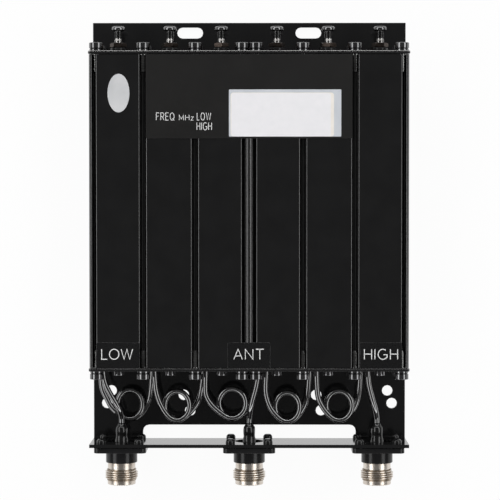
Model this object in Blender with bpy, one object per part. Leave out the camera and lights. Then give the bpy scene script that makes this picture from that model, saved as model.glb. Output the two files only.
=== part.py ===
"""A six-cavity duplexer: two extruded cavity blocks on a bent back plate, tuned from the top end,
coupled by coaxial jumpers under the bottom end, with three coaxial jacks on the plate's flange.

Lengths are metres. The object lies on its back plate: X runs across, Y from the jacks to the
tuning screws, Z out of the cavity blocks' face. The origin is under the middle of its box.
"""
import math

import bmesh
import bpy
from mathutils import Matrix, Vector

# Clearance between pieces that meet, and round what turns, slides or passes through
GAP = 0.0003
RUNNING = 0.0003

# Back plate, a sheet bent forward along its lower edge into the jacks' flange
PLATE_MARGIN = 0.00015
PLATE_T = 0.0016
PLATE_TAIL = 0.0157
FLANGE_MARGIN = 0.001
BEND_INSIDE = 0.001
TOP_SLOT_LENGTH = 0.0128
TOP_SLOT_HEIGHT = 0.0054
TOP_SLOT_X = 0.0293
TOP_SLOT_DROP = 0.005
CUTOUT_MARGIN = 0.0245
CUTOUT_RISE = 0.0065
CUTOUT_CORNER = 0.003
CUTOUT_REACH = 0.0032
HOLE_DIAMETER = 0.0053
# Round holes: how many jack pitches off the middle, how far in X from there, and how far above the flange
HOLES = ((1, 0.0059, 0.0236), (1, 0.0081, 0.0173), (0.5, 0.0019, 0.0214), (0.5, 0.0043, 0.0137),
         (-1, -0.0059, 0.0236), (-1, -0.0081, 0.0173), (-0.5, -0.0013, 0.0214), (-0.5, 0.0019, 0.0136))

# Cavity blocks, two alike lengths of one extrusion with three cavities each
BLOCK_WIDTH = 0.0772
BLOCK_DEPTH = 0.025
BLOCK_LENGTH = 0.1516
BODY_RISE = 0.0354
BLOCK_CORNER = 0.0008
BLOCK_MARGIN = 0.0008
CAVITY_WALL = 0.0036
FACE_WALL = 0.0016
CHANNEL_DIAMETER = 0.0042
CHANNEL_WALL = 0.0013
CHANNEL_INSET = 0.0035
GROOVE_WIDTH = 0.003
GROOVE_EDGE = 0.0005
END_WALL = 0.0015
END_SLOT_WIDTH = 0.0018
CAVITIES = 3

# End plates, their cap screws and the bushings of the tuning screws
END_PLATE_T = 0.0015
END_PLATE_PROUD = 0.0004
END_PLATE_CORNER = 0.001
CAP_HEAD_DIAMETER = 0.00675
CAP_HEAD_HEIGHT = 0.004
CAP_SOCKET = 0.0035
CAP_SHANK_DIAMETER = 0.0035
CAP_LENGTH = 0.010
RESONATOR_HEAD_DIAMETER = 0.0055
RESONATOR_HEAD_HEIGHT = 0.003
BUSHING_DIAMETER = 0.008
BUSHING_HEIGHT = 0.0021
BUSHING_TAIL = 0.0015

# Tuning screws, lock nuts and plungers
TUNER_DIAMETER = 0.004
TUNER_STANDOUT = 0.0106
TUNER_HEAD_DIAMETER = 0.0066
TUNER_HEAD_HEIGHT = 0.0024
TUNER_SOCKET = 0.0025
TUNER_REACH = 0.014
NUT_ACROSS_FLATS = 0.007
NUT_HEIGHT = 0.0022
NUT_CHAMFER = 0.00025
PLUNGER_CLEARANCE = 0.0005
PLUNGER_LENGTH = 0.014
PLUNGER_GRIP = 0.004

# Resonators and the wire hairpins beside them
RESONATOR_CLEARANCE = 0.0001
RESONATOR_WALL = 0.0009
RESONATOR_BORE_DEPTH = 0.026
RESONATOR_TOP_GAP = 0.009
HAIRPIN_WIRE = 0.0012
HAIRPIN_RISE = 0.022
HAIRPIN_SHOULDER = 0.0025
HAIRPIN_STEP = 0.008

# Coaxial jacks, their screws, contacts and boots
JACK_MARGIN = 0.002
JACK_FLANGE = 0.0254
JACK_FLANGE_T = 0.0026
JACK_FLANGE_CORNER = 0.0025
JACK_SCREW_SQUARE = 0.0183
JACK_HOLE = 0.014
JACK_BOSS_DIAMETER = 0.0128
JACK_BOSS_HEIGHT = 0.001
JACK_BARREL_DIAMETER = 0.0154
JACK_BARREL_LENGTH = 0.0058
JACK_NECK_DIAMETER = 0.0135
JACK_NECK_LENGTH = 0.0034
JACK_THREAD_DIAMETER = 0.01585
JACK_THREAD_LENGTH = 0.0047
JACK_THREAD_BEVEL = 0.0005
JACK_NOSE_DIAMETER = 0.0137
JACK_NOSE_LENGTH = 0.0027
JACK_BORE_DIAMETER = 0.0084
JACK_BORE_DEPTH = 0.0092
JACK_CORE_DIAMETER = 0.007
CONTACT_DIAMETER = 0.003
CONTACT_BORE = 0.0016
CONTACT_RECESS = 0.0050
CONTACT_BEVEL = 0.0005
CONTACT_STEM = 0.002
PAN_HEAD_DIAMETER = 0.0045
PAN_HEAD_HEIGHT = 0.0023
PAN_SHANK_DIAMETER = 0.0023
BOOT_NECK_DIAMETER = 0.0034
BOOT_BULGE_DIAMETER = 0.0059
BOOT_WAIST_DIAMETER = 0.0056
BOOT_FOOT_DIAMETER = 0.0070
BOOT_RISE = 0.0087

# Coaxial jumpers and leads, and their ports: how far in depth from the screw channels, the rear ones'
# distance from a cavity's left wall, and the front ones' places as shares of a cavity's width
CABLE_DIAMETER = 0.0027
CABLE_ENTRY = 0.002
CABLE_STEP = 0.0037
PORT_DROP = 0.0051
REAR_PORT_INSET = 0.0017
FRONT_PORT_SHARES = (-0.3472, -0.3519, -0.3565, -0.2407, -0.2731, -0.2778)

# Countersunk screws that hold the blocks from behind
FIXING_HEAD_DIAMETER = 0.0052
FIXING_SHANK_DIAMETER = 0.0024
FIXING_LENGTH = 0.006
FIXING_SINK = 0.00015
FIXING_SOCKET = 0.0018
FIXING_INSET = 0.0232

# Roundness of the turned pieces
FINE = 16
PLAIN = 12
COARSE = 8

# Places worked out from the sizes above
CAVITY_PITCH = (BLOCK_WIDTH - 2 * BLOCK_MARGIN) / CAVITIES
CAVITY_WIDTH = CAVITY_PITCH - CAVITY_WALL
PLATE_WIDTH = 2 * (BLOCK_WIDTH + PLATE_MARGIN) + GAP
BODY_LENGTH = BLOCK_LENGTH + 2 * (END_PLATE_T + GAP)
PLATE_RISE = BODY_RISE + BODY_LENGTH + PLATE_TAIL
JACK_REACH = (GAP + JACK_FLANGE_T + JACK_BARREL_LENGTH + JACK_NECK_LENGTH
              + JACK_THREAD_LENGTH + JACK_NOSE_LENGTH)
FLANGE_DEPTH = PLATE_T + JACK_FLANGE + FLANGE_MARGIN
FLANGE_Y = (JACK_REACH + PLATE_T - PLATE_RISE) / 2
PLATE_TOP_Y = FLANGE_Y + PLATE_RISE
BODY_Y = FLANGE_Y + BODY_RISE
BLOCK_Y = BODY_Y + END_PLATE_T + GAP
BLOCK_TOP_Y = BLOCK_Y + BLOCK_LENGTH
TOP_PLATE_Y = BLOCK_TOP_Y + GAP
TOP_FACE_Y = TOP_PLATE_Y + END_PLATE_T
BLOCK_Z = PLATE_T + GAP
CAVITY_Z = BLOCK_Z + BLOCK_DEPTH / 2
BLOCK_X = GAP / 2 + BLOCK_WIDTH / 2
END_PLATE_WIDTH = GAP + 2 * BLOCK_WIDTH + 2 * END_PLATE_PROUD
END_PLATE_DEPTH = BLOCK_DEPTH + END_PLATE_PROUD
CHANNEL_OFFSET_Z = BLOCK_DEPTH / 2 - CHANNEL_INSET
GROOVE_X = CAVITY_PITCH / 2
END_CHANNEL_X = BLOCK_WIDTH / 2 - END_WALL - END_SLOT_WIDTH
CUTOUT_WIDTH = PLATE_WIDTH - 2 * CUTOUT_MARGIN
JACK_PITCH = PLATE_WIDTH / 2 - JACK_FLANGE / 2 - JACK_MARGIN
JACK_Y = FLANGE_Y - PLATE_T - GAP
JACK_Z = PLATE_T - GAP / 3 + JACK_FLANGE / 2
JACK_XS = (-JACK_PITCH, 0.0, JACK_PITCH)
JACK_NAMES = ("low", "antenna", "high")
CAVITY_XS = tuple(side * BLOCK_X + (index - 1) * CAVITY_PITCH
                  for side in (-1, 1) for index in range(CAVITIES))
CHANNEL_XS = tuple(side * BLOCK_X + offset for side in (-1, 1)
                   for offset in (-END_CHANNEL_X, -GROOVE_X, GROOVE_X, END_CHANNEL_X))
PORT_OFFSET_Z = CHANNEL_OFFSET_Z - PORT_DROP
REAR_PORT_Z = CAVITY_Z - PORT_OFFSET_Z
FRONT_PORT_Z = CAVITY_Z + PORT_OFFSET_Z
REAR_PORT_OFFSET = REAR_PORT_INSET - CAVITY_WIDTH / 2
REAR_PORTS = tuple((x + REAR_PORT_OFFSET, REAR_PORT_Z) for x in CAVITY_XS)
FRONT_PORTS = tuple((x + share * CAVITY_WIDTH, FRONT_PORT_Z)
                    for x, share in zip(CAVITY_XS, FRONT_PORT_SHARES))
ANTENNA_PORT = (CAVITY_XS[CAVITIES] + REAR_PORT_OFFSET, FRONT_PORT_Z)
PORT_END_Y = BLOCK_Y + CABLE_ENTRY
NUT_SEAT_Y = TOP_FACE_Y + BUSHING_HEIGHT + GAP
RESONATOR_LENGTH = BLOCK_LENGTH - RESONATOR_TOP_GAP
NEAREST_PORT = min(math.hypot(share * CAVITY_WIDTH, PORT_OFFSET_Z) for share in FRONT_PORT_SHARES)
RESONATOR_DIAMETER = 2 * NEAREST_PORT - CABLE_DIAMETER - 2 * RESONATOR_CLEARANCE
RESONATOR_BORE = RESONATOR_DIAMETER - 2 * RESONATOR_WALL
PLUNGER_DIAMETER = RESONATOR_BORE - 2 * PLUNGER_CLEARANCE

# Jumpers leave the port of one cavity, go once round a loop and end at the next cavity's rear port.
# Each has: the cavity it starts from; its loop's centre, as a share of the way from port to port and
# a share of the rise to the end plate; the loop's half width, and three places its first leg
# passes, in loop radii from that centre; and how deep its loop starts and ends, as shares of the
# blocks' depth.
JUMPER_RADIUS = 0.2421 * CAVITY_PITCH
JUMPERS = (
    ("jumper_1_2", 0, (0.562, 0.499), 1.0, ((-2.17, 1.30), (-1.78, 0.45), (-1.42, -0.25)),
     (0.372, 0.220)),
    ("jumper_2_3", 1, (0.461, 0.500), 0.98, ((-1.62, 1.26), (-1.41, 0.45), (-1.03, -0.33)),
     (0.636, 0.420)),
    ("jumper_3_antenna", 2, (0.505, 0.532), 1.05, ((-2.07, 0.81), (-1.83, 0.24), (-1.42, -0.28)),
     (0.636, 0.420)),
    ("jumper_4_5", 3, (0.488, 0.482), 0.96, ((-1.70, 1.37), (-1.56, 0.55), (-1.18, -0.26)),
     (0.636, 0.420)),
    ("jumper_5_6", 4, (0.515, 0.502), 1.01, ((-1.72, 1.25), (-1.58, 0.44), (-1.11, -0.37)),
     (0.636, 0.420)),
)
# Where a jumper's turn starts and ends, and the angle between its points, in degrees
TURN_START, TURN_END, TURN_STEP = 240, 690, 30
# A loop's half height in loop radii, how much its turn opens at its end, and the bend by which it
# leaves for its last port: a share of the way back from the port, and its rise in loop radii
TURN_TALLNESS, TURN_OPENING, LEAVE_SHARE, LEAVE_RISE = 1.15, 0.12, 0.3, 0.45
# Leads: each one's port, its jack's X, and its bends as shares of the way from the port to the
# boot, in X, Y and Z
LEADS = (
    ("low_lead", FRONT_PORTS[0], -JACK_PITCH,
     ((0.098, 0.226, 0), (0.376, 0.450, 0), (0.734, 0.682, 0.122), (0.954, 0.870, 0.512))),
    ("antenna_lead", ANTENNA_PORT, 0.0,
     ((0.236, 0.315, 0), (0.640, 0.606, 0.122), (0.910, 0.861, 0.561))),
    ("high_lead", FRONT_PORTS[5], JACK_PITCH,
     ((0.113, 0.271, 0), (0.464, 0.562, 0.122), (0.856, 0.852, 0.561))),
)
# A boot's profile: shares of its height, and of its foot's, waist's, bulge's or neck's width
BOOT_PROFILE = ((0, BOOT_FOOT_DIAMETER), (0.17, 0.9 * BOOT_FOOT_DIAMETER), (0.34, BOOT_WAIST_DIAMETER),
                (0.62, BOOT_BULGE_DIAMETER), (0.8, 0.93 * BOOT_BULGE_DIAMETER),
                (0.92, 1.2 * BOOT_NECK_DIAMETER), (1, BOOT_NECK_DIAMETER))

# Turns that point a piece's own +Z along the object's +Y, -Y or +Z
UPWARD = (-math.pi / 2, 0, 0)
DOWNWARD = (math.pi / 2, 0, 0)
FORWARD = (0, 0, 0)

# Finishes: colour, roughness, metallic
BLACK_ANODISED = ((0.016, 0.016, 0.017), 0.5, 0.3)
BLACK_OXIDE = ((0.02, 0.019, 0.018), 0.4, 0.6)
BRONZE_BLACK = ((0.05, 0.042, 0.035), 0.35, 0.9)
NICKEL = ((0.55, 0.53, 0.50), 0.25, 1.0)
SILVER_PLATE = ((0.75, 0.74, 0.72), 0.3, 1.0)
COPPER_WIRE = ((0.72, 0.40, 0.25), 0.35, 1.0)
BRASS = ((0.70, 0.55, 0.28), 0.3, 1.0)
WHITE_INSULATOR = ((0.85, 0.85, 0.82), 0.6, 0.0)
CABLE_BLACK = ((0.012, 0.012, 0.012), 0.3, 0.0)
SLEEVE_BLACK = ((0.014, 0.014, 0.014), 0.45, 0.0)


# Helpers

def place(piece, location=(0, 0, 0), turn=FORWARD):
    """Puts a piece at a place, with its own +Z turned along an axis of the object."""
    piece.location = location
    piece.rotation_euler = turn
    return piece


def coat(piece, finish):
    """Gives a piece its own Principled material."""
    colour, roughness, metallic = finish
    material = bpy.data.materials.new(piece.name)
    material.use_nodes = True
    shader = material.node_tree.nodes["Principled BSDF"]
    shader.inputs["Base Color"].default_value = (*colour, 1)
    shader.inputs["Roughness"].default_value = roughness
    shader.inputs["Metallic"].default_value = metallic
    piece.data.materials.clear()
    piece.data.materials.append(material)
    return piece


def to_object(name, shape):
    """Turns a bmesh into an object with outward faces."""
    bmesh.ops.recalc_face_normals(shape, faces=shape.faces)
    mesh = bpy.data.meshes.new(name)
    shape.to_mesh(mesh)
    shape.free()
    mesh.shade_smooth()
    mesh.set_sharp_from_angle(angle=math.radians(35))
    piece = bpy.data.objects.new(name, mesh)
    bpy.context.collection.objects.link(piece)
    return piece


def turned(name, rings, segments=PLAIN, bored=False):
    """Lofts a piece along its own +Z through rings of (height, radius).

    A ring with "hex" after its radius is a hexagon of that half width across flats. A bored piece
    runs from its last ring back to its first, and any other is capped at both ends.
    """
    shape = bmesh.new()
    loops = []
    for height, radius, *outline in rings:
        loop = []
        for step in range(segments):
            angle = 2 * math.pi * step / segments
            reach = radius
            if outline:
                reach /= math.cos((angle + math.pi / 6) % (math.pi / 3) - math.pi / 6)
            loop.append(shape.verts.new((reach * math.cos(angle), reach * math.sin(angle), height)))
        loops.append(loop)
    bands = list(zip(loops, loops[1:]))
    if bored:
        bands.append((loops[-1], loops[0]))
    else:
        shape.faces.new(loops[0])
        shape.faces.new(loops[-1])
    for low, high in bands:
        for step in range(segments):
            after = (step + 1) % segments
            shape.faces.new((low[step], low[after], high[after], high[step]))
    return to_object(name, shape)


def extruded(name, outline, depth):
    """Extrudes a closed outline of (x, y) points along its own +Z."""
    shape = bmesh.new()
    face = shape.faces.new([shape.verts.new((x, y, 0)) for x, y in outline])
    raised = bmesh.ops.extrude_face_region(shape, geom=[face])["geom"]
    corners = [item for item in raised if isinstance(item, bmesh.types.BMVert)]
    bmesh.ops.translate(shape, verts=corners, vec=(0, 0, depth))
    return to_object(name, shape)


def arc(centre, radius, start, end, steps):
    """Points on an arc, with angles in degrees."""
    points = []
    for step in range(steps + 1):
        angle = math.radians(start + (end - start) * step / steps)
        points.append((centre[0] + radius * math.cos(angle), centre[1] + radius * math.sin(angle)))
    return points


def rounded_box(width, height, radius, steps=3):
    """A rectangle about its centre with rounded corners."""
    x, y = width / 2 - radius, height / 2 - radius
    outline = []
    for centre, start in (((x, y), 0), ((-x, y), 90), ((-x, -y), 180), ((x, -y), 270)):
        outline += arc(centre, radius, start, start + 90, steps)
    return outline


def boolean(piece, tools, operation):
    """Cuts tools from a piece, or joins them to it, and leaves the plain result."""
    for tool in tools:
        tool.hide_render = True
        tool.display_type = "WIRE"
        step = piece.modifiers.new(tool.name, "BOOLEAN")
        step.operation = operation
        step.solver = "EXACT"
        step.object = tool
    bpy.context.view_layer.update()
    seen = piece.evaluated_get(bpy.context.evaluated_depsgraph_get())
    piece.data = bpy.data.meshes.new_from_object(seen)
    piece.modifiers.clear()
    for tool in tools:
        bpy.data.objects.remove(tool)
    piece.data.set_sharp_from_angle(angle=math.radians(35))
    return piece


def cut(piece, tools):
    return boolean(piece, tools, "DIFFERENCE")


def join(piece, tools):
    return boolean(piece, tools, "UNION")


def copy(piece, name, finish):
    """A further piece of the same shape, with its own object and material."""
    twin = piece.copy()
    twin.data = piece.data.copy()
    twin.name = name
    bpy.context.collection.objects.link(twin)
    return coat(twin, finish)


def hole(location, diameter, turn=FORWARD, depth=0.01, segments=PLAIN):
    """A round cutter centred on its place."""
    radius = diameter / 2
    return place(turned("hole", ((-depth / 2, radius), (depth / 2, radius)), segments), location, turn)


def smooth_route(points, step):
    """Even points along a smooth curve through the route's own points."""
    knots = [Vector(point) for point in points]
    knots = [2 * knots[0] - knots[1]] + knots + [2 * knots[-1] - knots[-2]]
    fine = []
    for before, start, end, after in zip(knots, knots[1:], knots[2:], knots[3:]):
        for part in range(12):
            t = part / 12
            fine.append(0.5 * (2 * start + (end - before) * t
                               + (2 * before - 5 * start + 4 * end - after) * t ** 2
                               + (3 * start - before - 3 * end + after) * t ** 3))
    fine.append(knots[-2])
    lengths = [0.0]
    for start, end in zip(fine, fine[1:]):
        lengths.append(lengths[-1] + (end - start).length)
    count = max(2, round(lengths[-1] / step))
    route = []
    index = 0
    for number in range(count):
        goal = lengths[-1] * number / count
        while lengths[index + 1] < goal:
            index += 1
        share = (goal - lengths[index]) / (lengths[index + 1] - lengths[index])
        route.append(fine[index].lerp(fine[index + 1], share))
    route.append(fine[-1])
    return route


def tube(name, points, diameter, step, roundness=2):
    """A round wire or cable along a smooth curve."""
    curve = bpy.data.curves.new(name, "CURVE")
    curve.dimensions = "3D"
    curve.bevel_depth = diameter / 2
    curve.bevel_resolution = roundness
    curve.use_fill_caps = True
    spline = curve.splines.new("POLY")
    route = smooth_route(points, step)
    spline.points.add(len(route) - 1)
    for knot, point in zip(spline.points, route):
        knot.co = (*point, 1)
    piece = bpy.data.objects.new(name, curve)
    bpy.context.collection.objects.link(piece)
    return piece


# Screws that are fused to the sheet they hold

def cap_screw(location, turn, diameter=CAP_HEAD_DIAMETER, height=CAP_HEAD_HEIGHT, plain=False):
    """A socket head cap screw, or a plain one for a row behind another."""
    head, socket = diameter / 2, CAP_SOCKET / 2
    shank, root = CAP_SHANK_DIAMETER / 2, -END_PLATE_T / 2
    rings = [(-CAP_LENGTH, shank), (root, shank), (root, head), (height, head)]
    if not plain:
        rings += [(height, socket, "hex"), (height / 2, socket, "hex")]
    return place(turned("cap_screw", rings, COARSE if plain else PLAIN), location, turn)


def pan_screw(location):
    """A small pan head screw through the flange into a jack."""
    head, shank = PAN_HEAD_DIAMETER / 2, PAN_SHANK_DIAMETER / 2
    rings = ((-PLATE_T - JACK_FLANGE_T, shank), (-PLATE_T / 2, shank), (-PLATE_T / 2, head),
             (0.5 * PAN_HEAD_HEIGHT, head), (PAN_HEAD_HEIGHT, 0.6 * head))
    return place(turned("pan_screw", rings, COARSE), location, UPWARD)


# The pieces

def fixing_places():
    """Where the countersunk screws enter the blocks' rear grooves, in X and Y."""
    x = BLOCK_X - GROOVE_X
    return [(side * x, y) for y in (BLOCK_Y + FIXING_INSET, BLOCK_TOP_Y - FIXING_INSET) for side in (-1, 1)]


def make_back_plate():
    """The bent sheet with its slots, holes and cut-out, and the jacks' screws."""
    bend = (FLANGE_Y + BEND_INSIDE, PLATE_T + BEND_INSIDE)
    outline = [(PLATE_TOP_Y, 0), (PLATE_TOP_Y, PLATE_T)]
    outline += arc(bend, BEND_INSIDE, 270, 180, 3)
    outline += [(FLANGE_Y, FLANGE_DEPTH), (FLANGE_Y - PLATE_T, FLANGE_DEPTH)]
    outline += arc(bend, BEND_INSIDE + PLATE_T, 180, 270, 4)
    sheet = extruded("back_plate", outline, PLATE_WIDTH)
    # The outline is drawn in Y and Z and its extrusion runs along X
    along_x = Matrix(((0, 0, 1, -PLATE_WIDTH / 2), (1, 0, 0, 0), (0, 1, 0, 0), (0, 0, 0, 1)))
    sheet.data.transform(along_x)
    tools = []
    for side in (-1, 1):
        outline = rounded_box(TOP_SLOT_LENGTH, TOP_SLOT_HEIGHT, 0.49 * TOP_SLOT_HEIGHT)
        slot = extruded("slot", outline, 4 * PLATE_T)
        tools.append(place(slot, (side * TOP_SLOT_X, PLATE_TOP_Y - TOP_SLOT_DROP, -PLATE_T)))
    outline = rounded_box(CUTOUT_WIDTH, 2 * CUTOUT_RISE, CUTOUT_CORNER)
    window = extruded("window", outline, PLATE_T + CUTOUT_REACH)
    tools.append(place(window, (0, FLANGE_Y, -PLATE_T)))
    for pitches, offset, rise in HOLES:
        tools.append(hole((pitches * JACK_PITCH + offset, FLANGE_Y + rise, 0), HOLE_DIAMETER))
    for x in JACK_XS:
        tools.append(hole((x, FLANGE_Y, JACK_Z), JACK_HOLE, UPWARD, segments=FINE))
    mouth = FIXING_HEAD_DIAMETER / 2 + 2 * RUNNING
    clear = FIXING_SHANK_DIAMETER / 2 + 2 * RUNNING
    for x, y in fixing_places():
        rings = ((-PLATE_T, mouth), (-FIXING_SINK, mouth), (PLATE_T, clear), (2 * PLATE_T, clear))
        tools.append(place(turned("countersink", rings), (x, y, 0)))
    cut(sheet, tools)
    screws = []
    for x in JACK_XS:
        for step_x, step_z in ((-1, -1), (-1, 1), (1, -1), (1, 1)):
            reach = JACK_SCREW_SQUARE / 2
            screws.append(pan_screw((x + step_x * reach, FLANGE_Y, JACK_Z + step_z * reach)))
    coat(join(sheet, screws), BLACK_ANODISED)


def keyhole(centre_x, left, right):
    """A screw channel that opens at the face, from its right lip round to its left one."""
    radius = CHANNEL_DIAMETER / 2
    lip_y = BLOCK_DEPTH / 2 - GROOVE_EDGE
    outline = arc((centre_x + right + GROOVE_EDGE, lip_y), GROOVE_EDGE, 90, 180, 2)
    start = math.degrees(math.acos(right / radius))
    end = math.degrees(math.acos(left / radius)) - 360
    outline += arc((centre_x, CHANNEL_OFFSET_Z), radius, start, end, 6)
    outline += arc((centre_x + left - GROOVE_EDGE, lip_y), GROOVE_EDGE, 0, 90, 2)
    return outline


def block_outline():
    """The extrusion's outer section, the same on its front and rear faces."""
    side, face = BLOCK_WIDTH / 2 - BLOCK_CORNER, BLOCK_DEPTH / 2 - BLOCK_CORNER
    front = arc((side, face), BLOCK_CORNER, 0, 90, 2)
    front += keyhole(END_CHANNEL_X, 0, END_SLOT_WIDTH)
    front += keyhole(GROOVE_X, -GROOVE_WIDTH / 2, GROOVE_WIDTH / 2)
    front += keyhole(-GROOVE_X, -GROOVE_WIDTH / 2, GROOVE_WIDTH / 2)
    front += keyhole(-END_CHANNEL_X, -END_SLOT_WIDTH, 0)
    front += arc((-side, face), BLOCK_CORNER, 90, 180, 2)
    return front + [(x, -y) for x, y in reversed(front)]


def cavity_outline(channel_left, channel_right):
    """A cavity's section, with its corners rounded inwards about the screw channels."""
    half_width, half_depth = CAVITY_WIDTH / 2, BLOCK_DEPTH / 2 - FACE_WALL
    boss = CHANNEL_DIAMETER / 2 + CHANNEL_WALL
    rise = math.degrees(math.asin((half_depth - CHANNEL_OFFSET_Z) / boss))

    def corner(distance):
        drop = math.degrees(math.acos((half_width - distance) / boss))
        return arc((distance, CHANNEL_OFFSET_Z), boss, -drop, -180 - rise, 3)

    front = corner(channel_right) + [(-x, y) for x, y in reversed(corner(channel_left))]
    return front + [(x, -y) for x, y in reversed(front)]


def make_blocks():
    """Two lengths of the same extrusion, side by side."""
    block = extruded("cavity_block_low", block_outline(), BLOCK_LENGTH)
    end_channel = END_CHANNEL_X - CAVITY_PITCH
    cavities = []
    sides = ((-1, end_channel, GROOVE_X), (0, GROOVE_X, GROOVE_X), (1, GROOVE_X, end_channel))
    for index, left, right in sides:
        cavity = extruded("cavity", cavity_outline(left, right), 3 * BLOCK_LENGTH)
        cavities.append(place(cavity, (index * CAVITY_PITCH, 0, -BLOCK_LENGTH)))
    cut(block, cavities)
    place(coat(block, BLACK_ANODISED), (-BLOCK_X, BLOCK_Y, CAVITY_Z), UPWARD)
    twin = copy(block, "cavity_block_high", BLACK_ANODISED)
    twin.location.x = BLOCK_X


def end_plate(name, y):
    outline = rounded_box(END_PLATE_WIDTH, END_PLATE_DEPTH, END_PLATE_CORNER, 2)
    plate = extruded(name, outline, END_PLATE_T)
    return place(plate, (0, y, BLOCK_Z + END_PLATE_DEPTH / 2), UPWARD)


def cover_screws(y, turn):
    """Cap screws into the front and rear channels of both blocks."""
    front = [cap_screw((x, y, CAVITY_Z + CHANNEL_OFFSET_Z), turn) for x in CHANNEL_XS]
    rear = [cap_screw((x, y, CAVITY_Z - CHANNEL_OFFSET_Z), turn, plain=True) for x in CHANNEL_XS]
    return front + rear


def make_top_end_plate():
    """The end plate with the tuning screws' bushings pressed in and its cap screws."""
    plate = end_plate("top_end_plate", TOP_PLATE_Y)
    radius, edge = BUSHING_DIAMETER / 2, 0.05 * BUSHING_DIAMETER
    rings = ((-END_PLATE_T - BUSHING_TAIL, radius), (BUSHING_HEIGHT - edge, radius),
             (BUSHING_HEIGHT, radius - edge))
    bushings = [place(turned("bushing", rings, FINE), (x, TOP_FACE_Y, CAVITY_Z), UPWARD)
                for x in CAVITY_XS]
    join(plate, bushings + cover_screws(TOP_FACE_Y, UPWARD))
    bore = TUNER_DIAMETER + 2 * RUNNING
    cut(plate, [hole((x, TOP_FACE_Y, CAVITY_Z), bore, UPWARD) for x in CAVITY_XS])
    coat(plate, BLACK_ANODISED)


def port_places():
    """Every cable's hole through the bottom end plate, in X and Z."""
    return list(REAR_PORTS) + list(FRONT_PORTS) + [ANTENNA_PORT]


def make_bottom_end_plate():
    """The end plate with the cables' holes, its cap screws and the resonators' screws."""
    plate = end_plate("bottom_end_plate", BODY_Y)
    bore = CABLE_DIAMETER + 2 * RUNNING
    cut(plate, [hole((x, BODY_Y, z), bore, UPWARD) for x, z in port_places()])
    screws = cover_screws(BODY_Y, DOWNWARD)
    screws += [cap_screw((x, BODY_Y, CAVITY_Z), DOWNWARD, RESONATOR_HEAD_DIAMETER,
                         RESONATOR_HEAD_HEIGHT, plain=True) for x in CAVITY_XS]
    coat(join(plate, screws), BLACK_ANODISED)


def make_tuning_screws():
    """A domed socket screw, its lock nut and the plunger on its tip, for each cavity."""
    radius, socket = TUNER_DIAMETER / 2, TUNER_SOCKET / 2
    head, tall = TUNER_HEAD_DIAMETER / 2, TUNER_HEAD_HEIGHT
    top = TUNER_STANDOUT + tall
    tip = 0.2 * radius
    rings = ((-TUNER_REACH, radius - tip), (tip - TUNER_REACH, radius), (TUNER_STANDOUT, radius),
             (TUNER_STANDOUT, 0.97 * head), (top - 0.65 * tall, head), (top - 0.25 * tall, 0.82 * head),
             (top, 0.52 * head), (top, socket, "hex"), (top - 0.6 * tall, socket, "hex"))
    screw = turned("tuning_screw_1", rings)
    flats, bore = NUT_ACROSS_FLATS / 2, radius + RUNNING
    rings = ((0, 0.95 * flats), (NUT_CHAMFER, flats, "hex"), (NUT_HEIGHT - NUT_CHAMFER, flats, "hex"),
             (NUT_HEIGHT, 0.95 * flats), (NUT_HEIGHT, bore), (0, bore))
    nut = turned("lock_nut_1", rings, bored=True)
    skirt, mouth = PLUNGER_DIAMETER / 2, PLUNGER_GRIP - TUNER_REACH
    rings = ((-TUNER_REACH - GAP, bore), (mouth, bore), (mouth, skirt), (mouth - PLUNGER_LENGTH, skirt))
    plunger = turned("tuning_plunger_1", rings, COARSE)
    for number, x in enumerate(CAVITY_XS, 1):
        for first, finish, y in ((screw, BLACK_OXIDE, TOP_FACE_Y), (nut, BRONZE_BLACK, NUT_SEAT_Y),
                                 (plunger, BRASS, TOP_FACE_Y)):
            piece = first if number == 1 else copy(first, first.name[:-1] + str(number), finish)
            coat(place(piece, (x, y, CAVITY_Z), UPWARD), finish)


def make_resonators():
    """A silver-plated rod in each cavity, tapped at its foot and bored at its free end."""
    radius, bore = RESONATOR_DIAMETER / 2, RESONATOR_BORE / 2
    tapped = CAP_SHANK_DIAMETER / 2 + RUNNING
    depth = CAP_LENGTH - END_PLATE_T
    rings = ((depth, tapped), (0, tapped), (0, radius), (RESONATOR_LENGTH, radius),
             (RESONATOR_LENGTH, bore), (RESONATOR_LENGTH - RESONATOR_BORE_DEPTH, bore))
    for number, x in enumerate(CAVITY_XS, 1):
        rod = turned(f"resonator_{number}", rings, COARSE)
        coat(place(rod, (x, BLOCK_Y, CAVITY_Z), UPWARD), SILVER_PLATE)


def make_coupling_loops():
    """A hairpin of wire beside each resonator, from the rear port's cable to the front port's."""
    foot, top = PORT_END_Y + GAP, PORT_END_Y + HAIRPIN_RISE
    for number, (rear, front) in enumerate(zip(REAR_PORTS, FRONT_PORTS), 1):
        (x_rear, z_rear), (x_front, z_front) = rear, front
        middle = ((x_rear + x_front) / 2, top, (z_rear + z_front) / 2)
        shoulder = top - HAIRPIN_SHOULDER
        points = ((x_rear, foot, z_rear), (x_rear, shoulder, z_rear), middle,
                  (x_front, shoulder, z_front), (x_front, foot, z_front))
        coat(tube(f"coupling_loop_{number}", points, HAIRPIN_WIRE, HAIRPIN_STEP, 1), COPPER_WIRE)


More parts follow.
